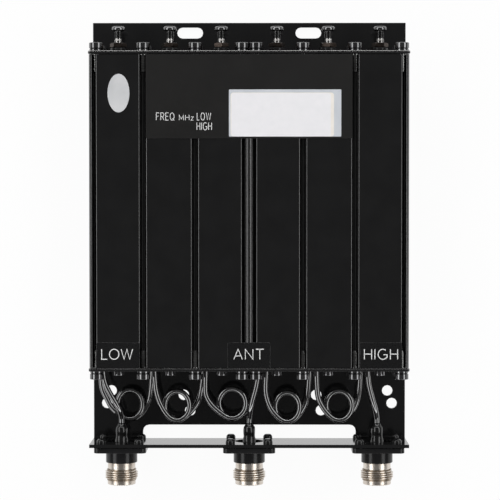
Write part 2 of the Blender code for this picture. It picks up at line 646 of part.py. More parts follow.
def make_jacks():
    """Three four-hole flange jacks with their insulators, contacts and boots."""
    seat = JACK_FLANGE_T
    shoulder = seat + JACK_BARREL_LENGTH
    thread = shoulder + JACK_NECK_LENGTH
    nose = thread + JACK_THREAD_LENGTH
    end = nose + JACK_NOSE_LENGTH
    boss, barrel = JACK_BOSS_DIAMETER / 2, JACK_BARREL_DIAMETER / 2
    neck, crest = JACK_NECK_DIAMETER / 2, JACK_THREAD_DIAMETER / 2
    rim, bevel = JACK_NOSE_DIAMETER / 2, JACK_THREAD_BEVEL
    rings = ((-JACK_BOSS_HEIGHT, boss), (seat / 2, boss), (seat / 2, barrel), (shoulder, barrel),
             (shoulder, neck), (thread, neck), (thread + bevel, crest), (nose - bevel, crest),
             (nose, rim), (end, rim))
    core, bore = JACK_CORE_DIAMETER / 2, JACK_BORE_DIAMETER / 2
    step = end - JACK_BORE_DEPTH
    jack = extruded("jack_low", rounded_box(JACK_FLANGE, JACK_FLANGE, JACK_FLANGE_CORNER, 4), seat)
    join(jack, [turned("body", rings, FINE)])
    passage = turned("passage", ((-seat, core), (step, core), (step, bore), (2 * end, bore)), FINE)
    reach = JACK_SCREW_SQUARE / 2
    clear = PAN_SHANK_DIAMETER + 3 * RUNNING
    holes = [hole((x * reach, y * reach, 0), clear, segments=COARSE)
             for x in (-1, 1) for y in (-1, 1)]
    cut(jack, [passage] + holes)
    stem = CONTACT_STEM / 2
    sleeve = stem + RUNNING
    face = step - GAP
    rings = ((-JACK_BOSS_HEIGHT, core - GAP), (face, core - GAP), (face, sleeve), (-JACK_BOSS_HEIGHT, sleeve))
    insulator = turned("jack_insulator_low", rings, COARSE, bored=True)
    tip, pin, socket = end - CONTACT_RECESS, CONTACT_DIAMETER / 2, CONTACT_BORE / 2
    rings = ((step, socket), (tip, socket), (tip, 0.8 * pin), (tip - CONTACT_BEVEL, pin), (step, pin),
             (step, stem), (-JACK_BOSS_HEIGHT, stem))
    contact = turned("jack_contact_low", rings, COARSE)
    for name, x in zip(JACK_NAMES, JACK_XS):
        for first, finish in ((jack, NICKEL), (insulator, WHITE_INSULATOR), (contact, SILVER_PLATE)):
            piece = first if name == "low" else copy(first, first.name.replace("low", name), finish)
            coat(place(piece, (x, JACK_Y, JACK_Z), DOWNWARD), finish)
        foot = JACK_Y + JACK_BOSS_HEIGHT + GAP
        tall = FLANGE_Y + BOOT_RISE - foot
        boot = turned(f"boot_{name}", [(share * tall, width / 2) for share, width in BOOT_PROFILE])
        coat(place(boot, (x, foot, JACK_Z), UPWARD), SLEEVE_BLACK)


def port_ends(port):
    """A cable's straight end, from inside the cavity out through its hole."""
    x, z = port
    return [(x, PORT_END_Y, z), (x, BODY_Y - CABLE_DIAMETER / 2, z)]


def jumper_route(start, end, centre, width, swings, depths):
    """Down from one port, once round a loop in front, and up to the next port behind it."""
    x = start[0] + centre[0] * (end[0] - start[0])
    y = FLANGE_Y + centre[1] * BODY_RISE
    first, last = (BLOCK_Z + share * BLOCK_DEPTH for share in depths)
    points = port_ends(start)
    for across, along in swings:
        points.append((x + across * JUMPER_RADIUS, y + along * JUMPER_RADIUS, first))
    for angle in range(TURN_START, TURN_END + 1, TURN_STEP):
        share = (angle - TURN_START) / (TURN_END - TURN_START)
        radius = JUMPER_RADIUS * (1 + TURN_OPENING) if angle == TURN_END else JUMPER_RADIUS
        turn = math.radians(angle)
        points.append((x + width * radius * math.cos(turn), y + TURN_TALLNESS * radius * math.sin(turn),
                       first + share * (last - first)))
    x_end, z_end = end
    x_leave = x_end - LEAVE_SHARE * (x_end - x - JUMPER_RADIUS)
    points.append((x_leave, y + LEAVE_RISE * JUMPER_RADIUS, (last + z_end) / 2))
    return points + port_ends(end)[::-1]


def lead_route(port, jack_x, bends):
    """Down from a port through its bends and straight into a jack's boot."""
    x, y, z = port_ends(port)[-1]
    end_y = FLANGE_Y + BOOT_RISE + GAP
    boot = (jack_x, end_y + CABLE_DIAMETER, JACK_Z)
    points = port_ends(port)
    for share_x, share_y, share_z in bends:
        points.append((x + share_x * (boot[0] - x), y + share_y * (boot[1] - y), z + share_z * (boot[2] - z)))
    return points + [boot, (jack_x, end_y, JACK_Z)]


def make_cables():
    """Five jumpers from cavity to cavity, and a lead to each jack."""
    for name, first, centre, width, swings, depths in JUMPERS:
        start = FRONT_PORTS[first] if first else REAR_PORTS[first]
        route = jumper_route(start, REAR_PORTS[first + 1], centre, width, swings, depths)
        coat(tube(name, route, CABLE_DIAMETER, CABLE_STEP), CABLE_BLACK)
    for name, port, jack_x, bends in LEADS:
        coat(tube(name, lead_route(port, jack_x, bends), CABLE_DIAMETER, CABLE_STEP), CABLE_BLACK)


def make_fixing_screws():
    """Four countersunk screws through the plate into the blocks' rear grooves."""
    head, shank = FIXING_HEAD_DIAMETER / 2, FIXING_SHANK_DIAMETER / 2
    socket = FIXING_SOCKET / 2
    rings = ((0.55 * PLATE_T, socket, "hex"), (FIXING_SINK, socket, "hex"), (FIXING_SINK, head),
             (0.94 * PLATE_T, shank), (FIXING_LENGTH, shank))
    for number, (x, y) in enumerate(fixing_places(), 1):
        coat(place(turned(f"fixing_screw_{number}", rings), (x, y, 0)), BLACK_OXIDE)


def main():
    for leftover in list(bpy.data.objects):
        bpy.data.objects.remove(leftover)
    make_back_plate()
    make_blocks()
    make_top_end_plate()
    make_bottom_end_plate()
    make_tuning_screws()
    make_resonators()
    make_coupling_loops()
    make_jacks()
    make_cables()
    make_fixing_screws()


main()
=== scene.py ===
# %% [markdown]
# # Dressing a six-cavity duplexer
#
# A duplexer lets a radio talk and listen at once on one antenna. This one is two aluminium
# extrusions with three tuned cavities each, bolted to a bent plate. The frame holds its solids
# at real size. This script adds what the frame leaves plain: rounded edges, screw threads,
# smooth cables, printed plates and real finishes.
#
# The frame comes first, because every later piece takes its place from it.

# %% Load the frame
import math

import bmesh
import bpy
from mathutils import Matrix, Vector


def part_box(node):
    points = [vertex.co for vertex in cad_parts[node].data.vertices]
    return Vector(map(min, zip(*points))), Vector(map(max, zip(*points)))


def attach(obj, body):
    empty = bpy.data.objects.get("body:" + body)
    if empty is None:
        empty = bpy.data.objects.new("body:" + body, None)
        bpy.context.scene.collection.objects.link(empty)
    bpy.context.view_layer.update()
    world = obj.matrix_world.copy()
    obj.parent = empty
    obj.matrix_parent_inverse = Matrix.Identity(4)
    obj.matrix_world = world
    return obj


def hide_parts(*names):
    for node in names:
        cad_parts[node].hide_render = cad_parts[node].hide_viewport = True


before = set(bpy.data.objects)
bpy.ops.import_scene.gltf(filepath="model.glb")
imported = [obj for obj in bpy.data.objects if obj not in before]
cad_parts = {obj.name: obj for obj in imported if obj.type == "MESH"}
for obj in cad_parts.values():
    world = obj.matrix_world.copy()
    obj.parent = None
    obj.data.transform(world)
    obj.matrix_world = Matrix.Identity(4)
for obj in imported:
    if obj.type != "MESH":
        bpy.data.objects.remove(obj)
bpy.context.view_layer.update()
MM = 0.001


def box_mm(node):
    """A CAD node's lowest and highest corner in millimetres."""
    low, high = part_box(node)
    return low / MM, high / MM


# %% [markdown]
# ## The camera
#
# The picture is square and taken from 0.9 m away, nearly straight down on the front of the
# duplexer. Its place and its focal length come from a fit to measured edges at several depths:
# the near end plates look larger than the far back plate, and that difference gives the distance.

# %% Place the camera
PICTURE_PX = 500
FOCAL_PX = 1801.6
SENSOR = 36.0
CAMERA_PLACE = Vector((4.59, 25.49, 897.64)) * MM
PITCH, YAW, ROLL = (math.radians(angle) for angle in (1.562, -0.272, -0.014))

ahead = Vector((math.sin(YAW) * math.cos(PITCH), -math.sin(PITCH), -math.cos(YAW) * math.cos(PITCH)))
level = Vector((math.cos(YAW), 0, math.sin(YAW)))
raised = level.cross(ahead)
right = math.cos(ROLL) * level + math.sin(ROLL) * raised
up = math.cos(ROLL) * raised - math.sin(ROLL) * level

lens = bpy.data.cameras.new("camera")
lens.sensor_width = SENSOR
lens.lens = FOCAL_PX / PICTURE_PX * SENSOR
lens.clip_start = 0.05
lens.clip_end = 20
camera = bpy.data.objects.new("camera", lens)
camera.matrix_world = Matrix.Translation(CAMERA_PLACE) @ Matrix((right, up, -ahead)).transposed().to_4x4()
bpy.context.collection.objects.link(camera)
bpy.context.scene.camera = camera
print("camera with a", round(lens.lens, 1), "mm lens")

# %% [markdown]
# ## Pieces from meshes
#
# Most parts of a duplexer are turned on a lathe, cut from sheet or extruded. All of these are
# rows of points joined by faces, so one loft helper makes them all. Shapes are drawn in
# millimetres, in the frame's own axes, and turned to metres when they become a piece.

# %% Make pieces from lofted rows of points
UPWARD = Matrix.Rotation(math.radians(-90), 4, "X")
DOWNWARD = Matrix.Rotation(math.radians(90), 4, "X")
SHARP_ANGLE = math.radians(35)
LARGE_FACE_WEIGHT = 90
CHASSIS = "chassis"


def loft(shape, rows, slot=0, capped=True):
    """Joins rows of equally many points with faces and closes both ends."""
    loops = [[shape.verts.new(point) for point in row] for row in rows]
    for before, after in zip(loops, loops[1:]):
        for index in range(len(before)):
            beside = (index + 1) % len(before)
            face = shape.faces.new((before[index], before[beside], after[beside], after[index]))
            face.material_index = slot
    if capped:
        for loop in (loops[0], loops[-1]):
            shape.faces.new(loop).material_index = slot


def keep_faces_flat(piece):
    """Lets large faces set the normals at their edges, so only the roundings bend the light."""
    step = piece.modifiers.new("face weights", "WEIGHTED_NORMAL")
    step.weight = LARGE_FACE_WEIGHT
    step.keep_sharp = True


def make_piece(name, shape, finishes, body=CHASSIS):
    """Turns a shape in millimetres into a smooth piece that rides on a CAD body."""
    bmesh.ops.recalc_face_normals(shape, faces=shape.faces)
    shape.transform(Matrix.Scale(MM, 4))
    mesh = bpy.data.meshes.new(name)
    shape.to_mesh(mesh)
    shape.free()
    mesh.shade_smooth()
    mesh.set_sharp_from_angle(angle=SHARP_ANGLE)
    for finish in finishes:
        mesh.materials.append(finish)
    piece = bpy.data.objects.new(name, mesh)
    bpy.context.collection.objects.link(piece)
    keep_faces_flat(piece)
    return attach(piece, body)


print("pieces can be made")

# %% [markdown]
# ## Arcs, curves and rings
#
# The rows of points come from a few simple ones: an arc for a rounded corner, a smooth curve
# through measured points, and a ring for what is turned or hexagonal. A place is a matrix that
# moves and turns such points to where the piece belongs.

# %% Draw arcs, curves and rings
def at(x, y, z, turn=Matrix.Identity(4)):
    """The matrix that puts a shape at a place, turned."""
    return Matrix.Translation((x, y, z)) @ turn


def arc(centre, radius, start, end, steps):
    """Points on an arc in a plane, with angles in degrees."""
    angles = [math.radians(start + (end - start) * step / steps) for step in range(steps + 1)]
    return [(centre[0] + radius * math.cos(a), centre[1] + radius * math.sin(a)) for a in angles]


def smooth(points, steps):
    """A Catmull-Rom curve through the points, with so many steps between each two."""
    knots = [Vector(point) for point in points]
    knots = [2 * knots[0] - knots[1]] + knots + [2 * knots[-1] - knots[-2]]
    curve = []
    for before, start, end, after in zip(knots, knots[1:], knots[2:], knots[3:]):
        for step in range(steps):
            t = step / steps
            curve.append(0.5 * (2 * start + (end - before) * t
                                + (2 * before - 5 * start + 4 * end - after) * t ** 2
                                + (3 * start - before - 3 * end + after) * t ** 3))
    return curve + [knots[-2]]


def hexagon(half, sides):
    """How far a hexagon reaches at each step round it, from half its width across the flats."""
    sixth = math.pi / 3
    angles = [2 * math.pi * side / sides for side in range(sides)]
    return [half / math.cos((angle + sixth / 2) % sixth - sixth / 2) for angle in angles]


def ring(place, reaches, height):
    """A row of points round the place's own Z, one at each reach."""
    row = []
    for side, reach in enumerate(reaches):
        angle = 2 * math.pi * side / len(reaches)
        row.append(place @ Vector((reach * math.cos(angle), reach * math.sin(angle), height)))
    return row


def turned(shape, place, profile, sides=32, slot=0, capped=True):
    """Spins a profile of (height, radius) about the place's own Z. A third value makes it a hexagon."""
    rows = []
    for height, radius, *six_sided in profile:
        rows.append(ring(place, hexagon(radius, sides) if six_sided else [radius] * sides, height))
    loft(shape, rows, slot, capped)


def rolled_edge(height, radius, roll, steps=5):
    """The end of a turned side, rolled over to the face at that height."""
    return [(height - roll + rise, radius - roll + out) for out, rise in arc((0, 0), roll, 0, 90, steps)]


print("arcs, curves, rings and turned shapes can be drawn")

# %% [markdown]
# ## Finishes
#
# Nearly everything here is black, and what tells the parts apart is gloss: satin anodised
# columns, oily black screws, shiny cable jackets, a dull printed plate. So each finish is one
# colour that wavers a little, with its own roughness and a fine relief, all from noise that is
# fixed to the object and sized in millimetres.

# %% Mix a finish
NOISE_DETAIL = 3
BLOTCH_GRAINS = 25
RELIEF_STRENGTH = 0.6


def add_noise(tree, coordinates, size, stretch):
    """Noise whose blotches are about so many millimetres across, pulled out along the axes."""
    mapping = tree.nodes.new("ShaderNodeMapping")
    mapping.inputs["Scale"].default_value = [1 / (size * MM * pull) for pull in stretch]
    noise = tree.nodes.new("ShaderNodeTexNoise")
    noise.inputs["Scale"].default_value = 1
    noise.inputs["Detail"].default_value = NOISE_DETAIL
    tree.links.new(coordinates.outputs["Object"], mapping.inputs["Vector"])
    tree.links.new(mapping.outputs["Vector"], noise.inputs["Vector"])
    return noise.outputs["Fac"]


def add_range(tree, value, low, high, start=0.3, end=0.7):
    """Spreads what a value does between start and end, for a noise its middle, over a range."""
    spread = tree.nodes.new("ShaderNodeMapRange")
    spread.inputs["From Min"].default_value = start
    spread.inputs["From Max"].default_value = end
    spread.inputs["To Min"].default_value = low
    spread.inputs["To Max"].default_value = high
    tree.links.new(value, spread.inputs["Value"])
    return spread.outputs["Result"]


def mix_finish(name, dark, light, roughness, metallic=0.0, grain=0.4, relief=0.004, stretch=(1, 1, 1),
               specular=0.5, index=1.5):
    """A finish between two colours, with roughness between two values and a fine relief."""
    material = bpy.data.materials.new(name)
    material.use_nodes = True
    tree = material.node_tree
    shader = tree.nodes["Principled BSDF"]
    shader.inputs["Metallic"].default_value = metallic
    shader.inputs["Specular IOR Level"].default_value = specular
    shader.inputs["IOR"].default_value = index
    place = tree.nodes.new("ShaderNodeTexCoord")
    fine = add_noise(tree, place, grain, stretch)
    broad = add_noise(tree, place, BLOTCH_GRAINS * grain, stretch)
    tone = tree.nodes.new("ShaderNodeMix")
    tone.data_type = "RGBA"
    tone.inputs["A"].default_value = (*dark, 1)
    tone.inputs["B"].default_value = (*light, 1)
    tree.links.new(add_range(tree, broad, 0, 1), tone.inputs["Factor"])
    tree.links.new(tone.outputs["Result"], shader.inputs["Base Color"])
    tree.links.new(add_range(tree, fine, *roughness), shader.inputs["Roughness"])
    bump = tree.nodes.new("ShaderNodeBump")
    bump.inputs["Strength"].default_value = RELIEF_STRENGTH
    bump.inputs["Distance"].default_value = relief * MM
    tree.links.new(fine, bump.inputs["Height"])
    tree.links.new(bump.outputs["Normal"], shader.inputs["Normal"])
    return material


print("a finish can be mixed")

# %% [markdown]
# ## Painted edge highlights
#
# The rounded edges of these black parts catch the soft boxes as thin bright lines, and here those
# lines are painted as a pale metal colour: a painted highlight. These parts are boxes that lie
# along the axes. A rounding is where the surface turns away from all three of them, so its normal
# tells where the highlight is painted. On the end plates only the upper edges get it. The port
# labels get it too, for their pale edges.

# %% Paint highlights on the edges
FLAT_FACE = 0.995
HIGHLIT_ROUNDING = 0.97
FACES_UP = 0.05


def add_math(tree, operation, first, second=0.0):
    """Works out a value from a socket and a second one, or from a socket and a number."""
    sum_node = tree.nodes.new("ShaderNodeMath")
    sum_node.operation = operation
    tree.links.new(first, sum_node.inputs[0])
    if isinstance(second, float):
        sum_node.inputs[1].default_value = second
    else:
        tree.links.new(second, sum_node.inputs[1])
    return sum_node.outputs["Value"]


def paint_edge_highlights(material, metal, upper_only=False):
    """Paints highlights of pale metal on the roundings of a box."""
    tree = material.node_tree
    shader = tree.nodes["Principled BSDF"]
    surface = tree.nodes.new("ShaderNodeNewGeometry")
    parts = tree.nodes.new("ShaderNodeSeparateXYZ")
    tree.links.new(surface.outputs["Normal"], parts.inputs["Vector"])
    along_x, along_y, along_z = (add_math(tree, "ABSOLUTE", parts.outputs[axis]) for axis in "XYZ")
    largest = add_math(tree, "MAXIMUM", add_math(tree, "MAXIMUM", along_x, along_y), along_z)
    # painted highlight: 1 on the roundings, 0 on the flat faces
    highlit = add_range(tree, largest, 0, 1, FLAT_FACE, HIGHLIT_ROUNDING)
    # with upper_only, only roundings that face +Y, towards the upper box, get the painted highlight
    if upper_only:
        highlit = add_math(tree, "MULTIPLY", highlit, add_math(tree, "GREATER_THAN", parts.outputs["Y"], FACES_UP))
    tone = tree.nodes.new("ShaderNodeMix")
    tone.data_type = "RGBA"
    tone.inputs["B"].default_value = (*metal, 1)
    tree.links.new(shader.inputs["Base Color"].links[0].from_socket, tone.inputs["A"])
    tree.links.new(highlit, tone.inputs["Factor"])
    tree.links.new(tone.outputs["Result"], shader.inputs["Base Color"])
    tree.links.new(highlit, shader.inputs["Metallic"])


print("edge highlights can be painted")

# %% [markdown]
# ## This duplexer's finishes
#
# Each line is one finish: its name, its dark and its light colour, and its roughness. The black
# ones differ little in colour and much in gloss. The screws' black is an oxide on steel, which
# still shines as a metal does, and the nuts' is browner. The jacks' thread is nickel with a root
# painted darker, a painted shade in its valleys. Bare steel shows only on the tuning screws.

# %% Mix the finishes
ANODISED = mix_finish("black_anodised", (0.0068, 0.0068, 0.0070), (0.0088, 0.0088, 0.0090), (0.18, 0.25),
                      specular=0.36)
# painted highlights: pale metal on every rounding of the columns
paint_edge_highlights(ANODISED, (0.13, 0.13, 0.13))
SATIN_BLACK = mix_finish("black_anodised_plain", (0.0068, 0.0068, 0.0070), (0.0088, 0.0088, 0.0090),
                         (0.18, 0.25), specular=0.5)
# painted highlights on the bottom plate's upper edges, the side the upper box lights
paint_edge_highlights(SATIN_BLACK, (0.12, 0.12, 0.12), upper_only=True)
END_BLACK = mix_finish("black_anodised_end", (0.0075, 0.0075, 0.0077), (0.0098, 0.0098, 0.0100), (0.16, 0.22),
                       specular=0.36)
# painted highlights: pale metal on the top plate's upward-facing roundings
paint_edge_highlights(END_BLACK, (0.36, 0.355, 0.35), upper_only=True)
PLATE_BLACK = mix_finish("black_gloss_paint", (0.0070, 0.0070, 0.0073), (0.0090, 0.0090, 0.0093),
                         (0.07, 0.13), grain=0.7, relief=0.002, specular=0.45)
SCREW_BLACK = mix_finish("black_oxide", (0.12, 0.12, 0.122), (0.19, 0.19, 0.192), (0.08, 0.13), metallic=1.0,
                         grain=0.6, relief=0.001)
THREAD_BLACK = mix_finish("black_thread", (0.05, 0.05, 0.05), (0.09, 0.09, 0.09), (0.08, 0.14), metallic=1.0,
                          grain=0.6, relief=0.001)
# painted shade: a darker, browner nickel for the thread's root and core
NICKEL_ROOT_SHADE = mix_finish("nickel_root_painted_shade", (0.20, 0.16, 0.12), (0.32, 0.26, 0.20), (0.3, 0.4),
                         metallic=1.0, grain=0.4, relief=0.001)
# painted glint: the front cap screws' threads are a paler metal than their heads
THREAD_GLINT = mix_finish("thread_painted_glint", (0.18, 0.18, 0.18), (0.42, 0.42, 0.41), (0.06, 0.12),
                          metallic=1.0, grain=0.4, relief=0.001)
FLANGE_BLACK = mix_finish("black_zinc", (0.006, 0.006, 0.006), (0.012, 0.012, 0.012), (0.10, 0.16), grain=0.5,
                          relief=0.002, specular=0.4)
NUT_BRONZE = mix_finish("dark_bronze", (0.040, 0.032, 0.028), (0.105, 0.082, 0.070), (0.28, 0.40),
                        metallic=1.0, grain=0.3, relief=0.006)
BARE_STEEL = mix_finish("worn_steel", (0.40, 0.39, 0.38), (0.60, 0.59, 0.58), (0.06, 0.12), metallic=1.0,
                        grain=0.4, relief=0.001)
NICKEL = mix_finish("nickel", (0.58, 0.51, 0.44), (0.76, 0.71, 0.65), (0.27, 0.35), metallic=1.0, grain=0.5,
                    relief=0.001, stretch=(6, 0.25, 6))
JACK_BLACK = mix_finish("blackened_jack", (0.009, 0.009, 0.0095), (0.014, 0.014, 0.0145), (0.16, 0.24),
                        grain=0.5, relief=0.002, specular=0.25)
JACKET = mix_finish("cable_jacket", (0.003, 0.003, 0.003), (0.005, 0.005, 0.005), (0.05, 0.09), grain=1.5,
                    relief=0.001, specular=1.0, index=1.85)
SLEEVE = mix_finish("shrink_sleeve", (0.004, 0.004, 0.004), (0.007, 0.007, 0.007), (0.10, 0.16), grain=0.8,
                    relief=0.003, specular=0.5)
PRINTED_PLATE = mix_finish("printed_plate", (0.0050, 0.0047, 0.0045), (0.0072, 0.0068, 0.0065), (0.38, 0.48),
                           grain=0.5, specular=0.4)
LABEL_FILM = mix_finish("label_film", (0.0042, 0.0042, 0.0045), (0.0058, 0.0058, 0.0061), (0.25, 0.34),
                        grain=0.8, specular=0.4)
# painted highlights along the port labels' rounded edges
paint_edge_highlights(LABEL_FILM, (0.24, 0.24, 0.24))
PAPER = mix_finish("white_paper", (0.77, 0.765, 0.785), (0.80, 0.79, 0.81), (0.55, 0.7), grain=0.15,
                   relief=0.004)
CREAM_PAPER = mix_finish("aged_paper", (0.76, 0.72, 0.66), (0.82, 0.78, 0.73), (0.55, 0.7), grain=0.15,
                         relief=0.01)
PANEL_GREY = mix_finish("panel_grey", (0.50, 0.53, 0.57), (0.60, 0.62, 0.66), (0.35, 0.5), grain=0.5)
SILVER_FILM = mix_finish("silver_film", (0.50, 0.51, 0.52), (0.64, 0.64, 0.65), (0.35, 0.5), grain=0.5)
INK = mix_finish("white_ink", (0.74, 0.74, 0.74), (0.84, 0.84, 0.83), (0.5, 0.6), grain=0.2)
SILVER = mix_finish("silver_plate", (0.68, 0.67, 0.64), (0.80, 0.79, 0.76), (0.2, 0.35), metallic=1.0)
COPPER = mix_finish("copper_wire", (0.60, 0.32, 0.19), (0.76, 0.44, 0.28), (0.28, 0.42), metallic=1.0)
BRASS = mix_finish("turned_brass", (0.62, 0.47, 0.22), (0.74, 0.60, 0.32), (0.22, 0.36), metallic=1.0)
INSULATOR = mix_finish("white_insulator", (0.80, 0.80, 0.77), (0.87, 0.87, 0.84), (0.45, 0.6))
print(len(bpy.data.materials), "materials")

# %% [markdown]
# ## The solids that stay
#
# The back plate with its countersunk screws, the parts inside the cavities and the jacks'
# insulators and contacts are already the right shape in the frame, so they only get a finish.

# %% Dress the solids that stay
JACK_NAMES = ("low", "antenna", "high")
STAYING = {"back_plate": PLATE_BLACK}
for name in JACK_NAMES:
    STAYING[f"jack_insulator_{name}"] = INSULATOR
    STAYING[f"jack_contact_{name}"] = SILVER
for number in range(1, 7):
    STAYING[f"tuning_plunger_{number}"] = BRASS
    STAYING[f"resonator_{number}"] = SILVER
    STAYING[f"coupling_loop_{number}"] = COPPER
for number in range(1, 5):
    STAYING[f"fixing_screw_{number}"] = SCREW_BLACK
for name, finish in STAYING.items():
    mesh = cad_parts[name].data
    mesh.materials.clear()
    mesh.materials.append(finish)
print(len(STAYING), "solids dressed")

# %% [markdown]
# ## The cavity blocks
#
# Each block is one length of aluminium extrusion: three square cavities side by side, with
# round screw channels at their corners that open to the face through grooves. The die leaves
# every edge rounded, and on a black part those edges are what catches the light. So the block
# is drawn again from its section, with fine roundings, and its cavities are cut out.

# %% Draw the section of the blocks
BLOCK_LOW, BLOCK_HIGH = box_mm("cavity_block_low")
BLOCK_WIDTH = BLOCK_HIGH.x - BLOCK_LOW.x
BLOCK_DEPTH = BLOCK_HIGH.z - BLOCK_LOW.z
BLOCK_X = sum(corner.x for corner in box_mm("cavity_block_high")) / 2
BLOCK_Z = (BLOCK_LOW.z + BLOCK_HIGH.z) / 2
PITCH_X = 25.2
CAVITY_WIDTH = 21.6
FACE_WALL = 1.6
END_WALL = 1.5
EDGE = 0.5
CORNER = 0.8
CHANNEL = 4.2
CHANNEL_SINK = 3.5
CHANNEL_Z = BLOCK_DEPTH / 2 - CHANNEL_SINK
CHANNEL_WALL = 1.3
GROOVE = 3.0
END_GROOVE = 1.8
END_CHANNEL_X = BLOCK_WIDTH / 2 - END_WALL - END_GROOVE


def keyhole(x, left, right):
    """A screw channel that opens at the face, from its right lip round to its left one."""
    radius, lip = CHANNEL / 2, BLOCK_DEPTH / 2 - EDGE
    outline = arc((x + right + EDGE, lip), EDGE, 90, 180, 6)
    start = math.degrees(math.acos(right / radius))
    end = math.degrees(math.acos(left / radius)) - 360
    outline += arc((x, CHANNEL_Z), radius, start, end, 16)
    return outline + arc((x + left - EDGE, lip), EDGE, 0, 90, 6)


def block_section():
    """The outer section of the extrusion, the same at its front and back."""
    side, face = BLOCK_WIDTH / 2 - CORNER, BLOCK_DEPTH / 2 - CORNER
    front = arc((side, face), CORNER, 0, 90, 8)
    front += keyhole(END_CHANNEL_X, 0, END_GROOVE)
    front += keyhole(PITCH_X / 2, -GROOVE / 2, GROOVE / 2)
    front += keyhole(-PITCH_X / 2, -GROOVE / 2, GROOVE / 2)
    front += keyhole(-END_CHANNEL_X, -END_GROOVE, 0)
    front += arc((-side, face), CORNER, 90, 180, 8)
    return front + [(x, -y) for x, y in reversed(front)]


def cavity_section(left, right):
    """A cavity's section, rounded inwards about the channels at its corners."""
    half, deep, boss = CAVITY_WIDTH / 2, BLOCK_DEPTH / 2 - FACE_WALL, CHANNEL / 2 + CHANNEL_WALL
    rise = math.degrees(math.asin((deep - CHANNEL_Z) / boss))

    def corner(distance):
        drop = math.degrees(math.acos((half - distance) / boss))
        return arc((distance, CHANNEL_Z), boss, -drop, -180 - rise, 6)

    front = corner(right) + [(-x, y) for x, y in reversed(corner(left))]
    return front + [(x, -y) for x, y in reversed(front)]


print("a section of", len(block_section()), "points")

# %% [markdown]
# ## Extruding and cutting
#
# The block is its section drawn out from one end to the other. The three cavities are drawn out
# in the same way, a little longer than the block, and taken out of it with a Boolean.

# %% Extrude the blocks and cut their cavities
OVERSHOOT = 5


def extruded(shape, section, low, high, place):
    """Extrudes a section along its own Z."""
    loft(shape, [[place @ Vector((x, y, height)) for x, y in section] for height in (low, high)])


def cut(piece, *tools):
    """Cuts tools out of a piece and leaves one plain mesh."""
    piece.modifiers.clear()
    for tool in tools:
        step = piece.modifiers.new(tool.name, "BOOLEAN")
        step.solver = "EXACT"
        step.object = tool
    bpy.context.view_layer.update()
    seen = piece.evaluated_get(bpy.context.evaluated_depsgraph_get())
    piece.data = bpy.data.meshes.new_from_object(seen)
    piece.modifiers.clear()
    for tool in tools:
        bpy.data.objects.remove(tool)
    piece.data.set_sharp_from_angle(angle=SHARP_ANGLE)
    keep_faces_flat(piece)


for name, x in (("low", -BLOCK_X), ("high", BLOCK_X)):
    shape = bmesh.new()
    extruded(shape, block_section(), BLOCK_LOW.y, BLOCK_HIGH.y, at(x, 0, BLOCK_Z, UPWARD))
    block = make_piece(f"column_block_{name}", shape, [ANODISED])
    shape = bmesh.new()
    end = END_CHANNEL_X - PITCH_X
    for index, left, right in ((-1, end, PITCH_X / 2), (0, PITCH_X / 2, PITCH_X / 2), (1, PITCH_X / 2, end)):
        place = at(x + index * PITCH_X, 0, BLOCK_Z, UPWARD)
        extruded(shape, cavity_section(left, right), BLOCK_LOW.y - OVERSHOOT, BLOCK_HIGH.y + OVERSHOOT, place)
    cut(block, make_piece("cavities", shape, []))
    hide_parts(f"cavity_block_{name}")
    print(block.name, "has", len(block.data.polygons), "faces")

# %% [markdown]
# ## The end plates
#
# A thin plate closes each end. Its edges are tumbled round, and its front edge shows as a
# bright line across the columns. A loft of rounded rectangles gives the plate its softened
# edges, and the holes for tuning screws and cables are cut through it.

# %% Draw the end plates
SEAL = 0.3
PLATE_THICK = 1.5
PLATE_DEPTH = 25.4
PLATE_CORNER = 1.0
PLATE_SOFTEN = 0.35
PLATE_OVERHANG = 0.4
LEAST_CORNER = 0.02
TUNER_HOLE = 2.3
CABLE_HOLE = 1.65
PORT_OFFSET_Z = 3.9
REAR_PORT_STEP = -9.1
FRONT_PORT_STEPS = (-7.5, -7.6, -7.7, -5.2, -5.9, -6.0)
TUNER_XS = [sum(corner.x for corner in box_mm(f"tuning_screw_{number}")) / 2 for number in range(1, 7)]
CHANNEL_STEPS = (-END_CHANNEL_X, -PITCH_X / 2, PITCH_X / 2, END_CHANNEL_X)
CHANNEL_XS = [side * BLOCK_X + step for side in (-1, 1) for step in CHANNEL_STEPS]
TOP_FACE = BLOCK_HIGH.y + SEAL + PLATE_THICK
BOTTOM_FACE = BLOCK_LOW.y - SEAL - PLATE_THICK
PORTS_REAR = [x + REAR_PORT_STEP for x in TUNER_XS]
PORTS_FRONT = [x + step for x, step in zip(TUNER_XS, FRONT_PORT_STEPS)]
REAR_Z, FRONT_Z = BLOCK_Z - PORT_OFFSET_Z, BLOCK_Z + PORT_OFFSET_Z


def rounded_box(width, height, radius, steps):
    """A rectangle about its centre with rounded corners."""
    x, y = width / 2 - radius, height / 2 - radius
    outline = []
    for centre, start in (((x, y), 0), ((-x, y), 90), ((-x, -y), 180), ((x, -y), 270)):
        outline += arc(centre, radius, start, start + 90, steps)
    return outline


def soft_sheet(shape, place, width, height, thick, corner, soften, slot=0):
    """A flat sheet from 0 to its thickness along the place's own Z, with rounded edges."""
    rows = []
    for z, direction in ((0, 1), (thick, -1)):
        steps = arc((0, 0), soften, 90, 0, 4) if direction == 1 else arc((0, 0), soften, 0, 90, 4)
        for out, rise in steps:
            inset = soften - out
            level = z + direction * (soften - rise)
            outline = rounded_box(width - 2 * inset, height - 2 * inset, max(corner - inset, LEAST_CORNER), 6)
            rows.append([place @ Vector((x, y, level)) for x, y in outline])
    loft(shape, rows, slot)


def drilled(places, radius, low, high):
    """One cutter for several round holes along Y."""
    shape = bmesh.new()
    for x, z in places:
        turned(shape, at(x, low, z, UPWARD), ((0, radius), (high - low, radius)), 24)
    return make_piece("drill", shape, [])


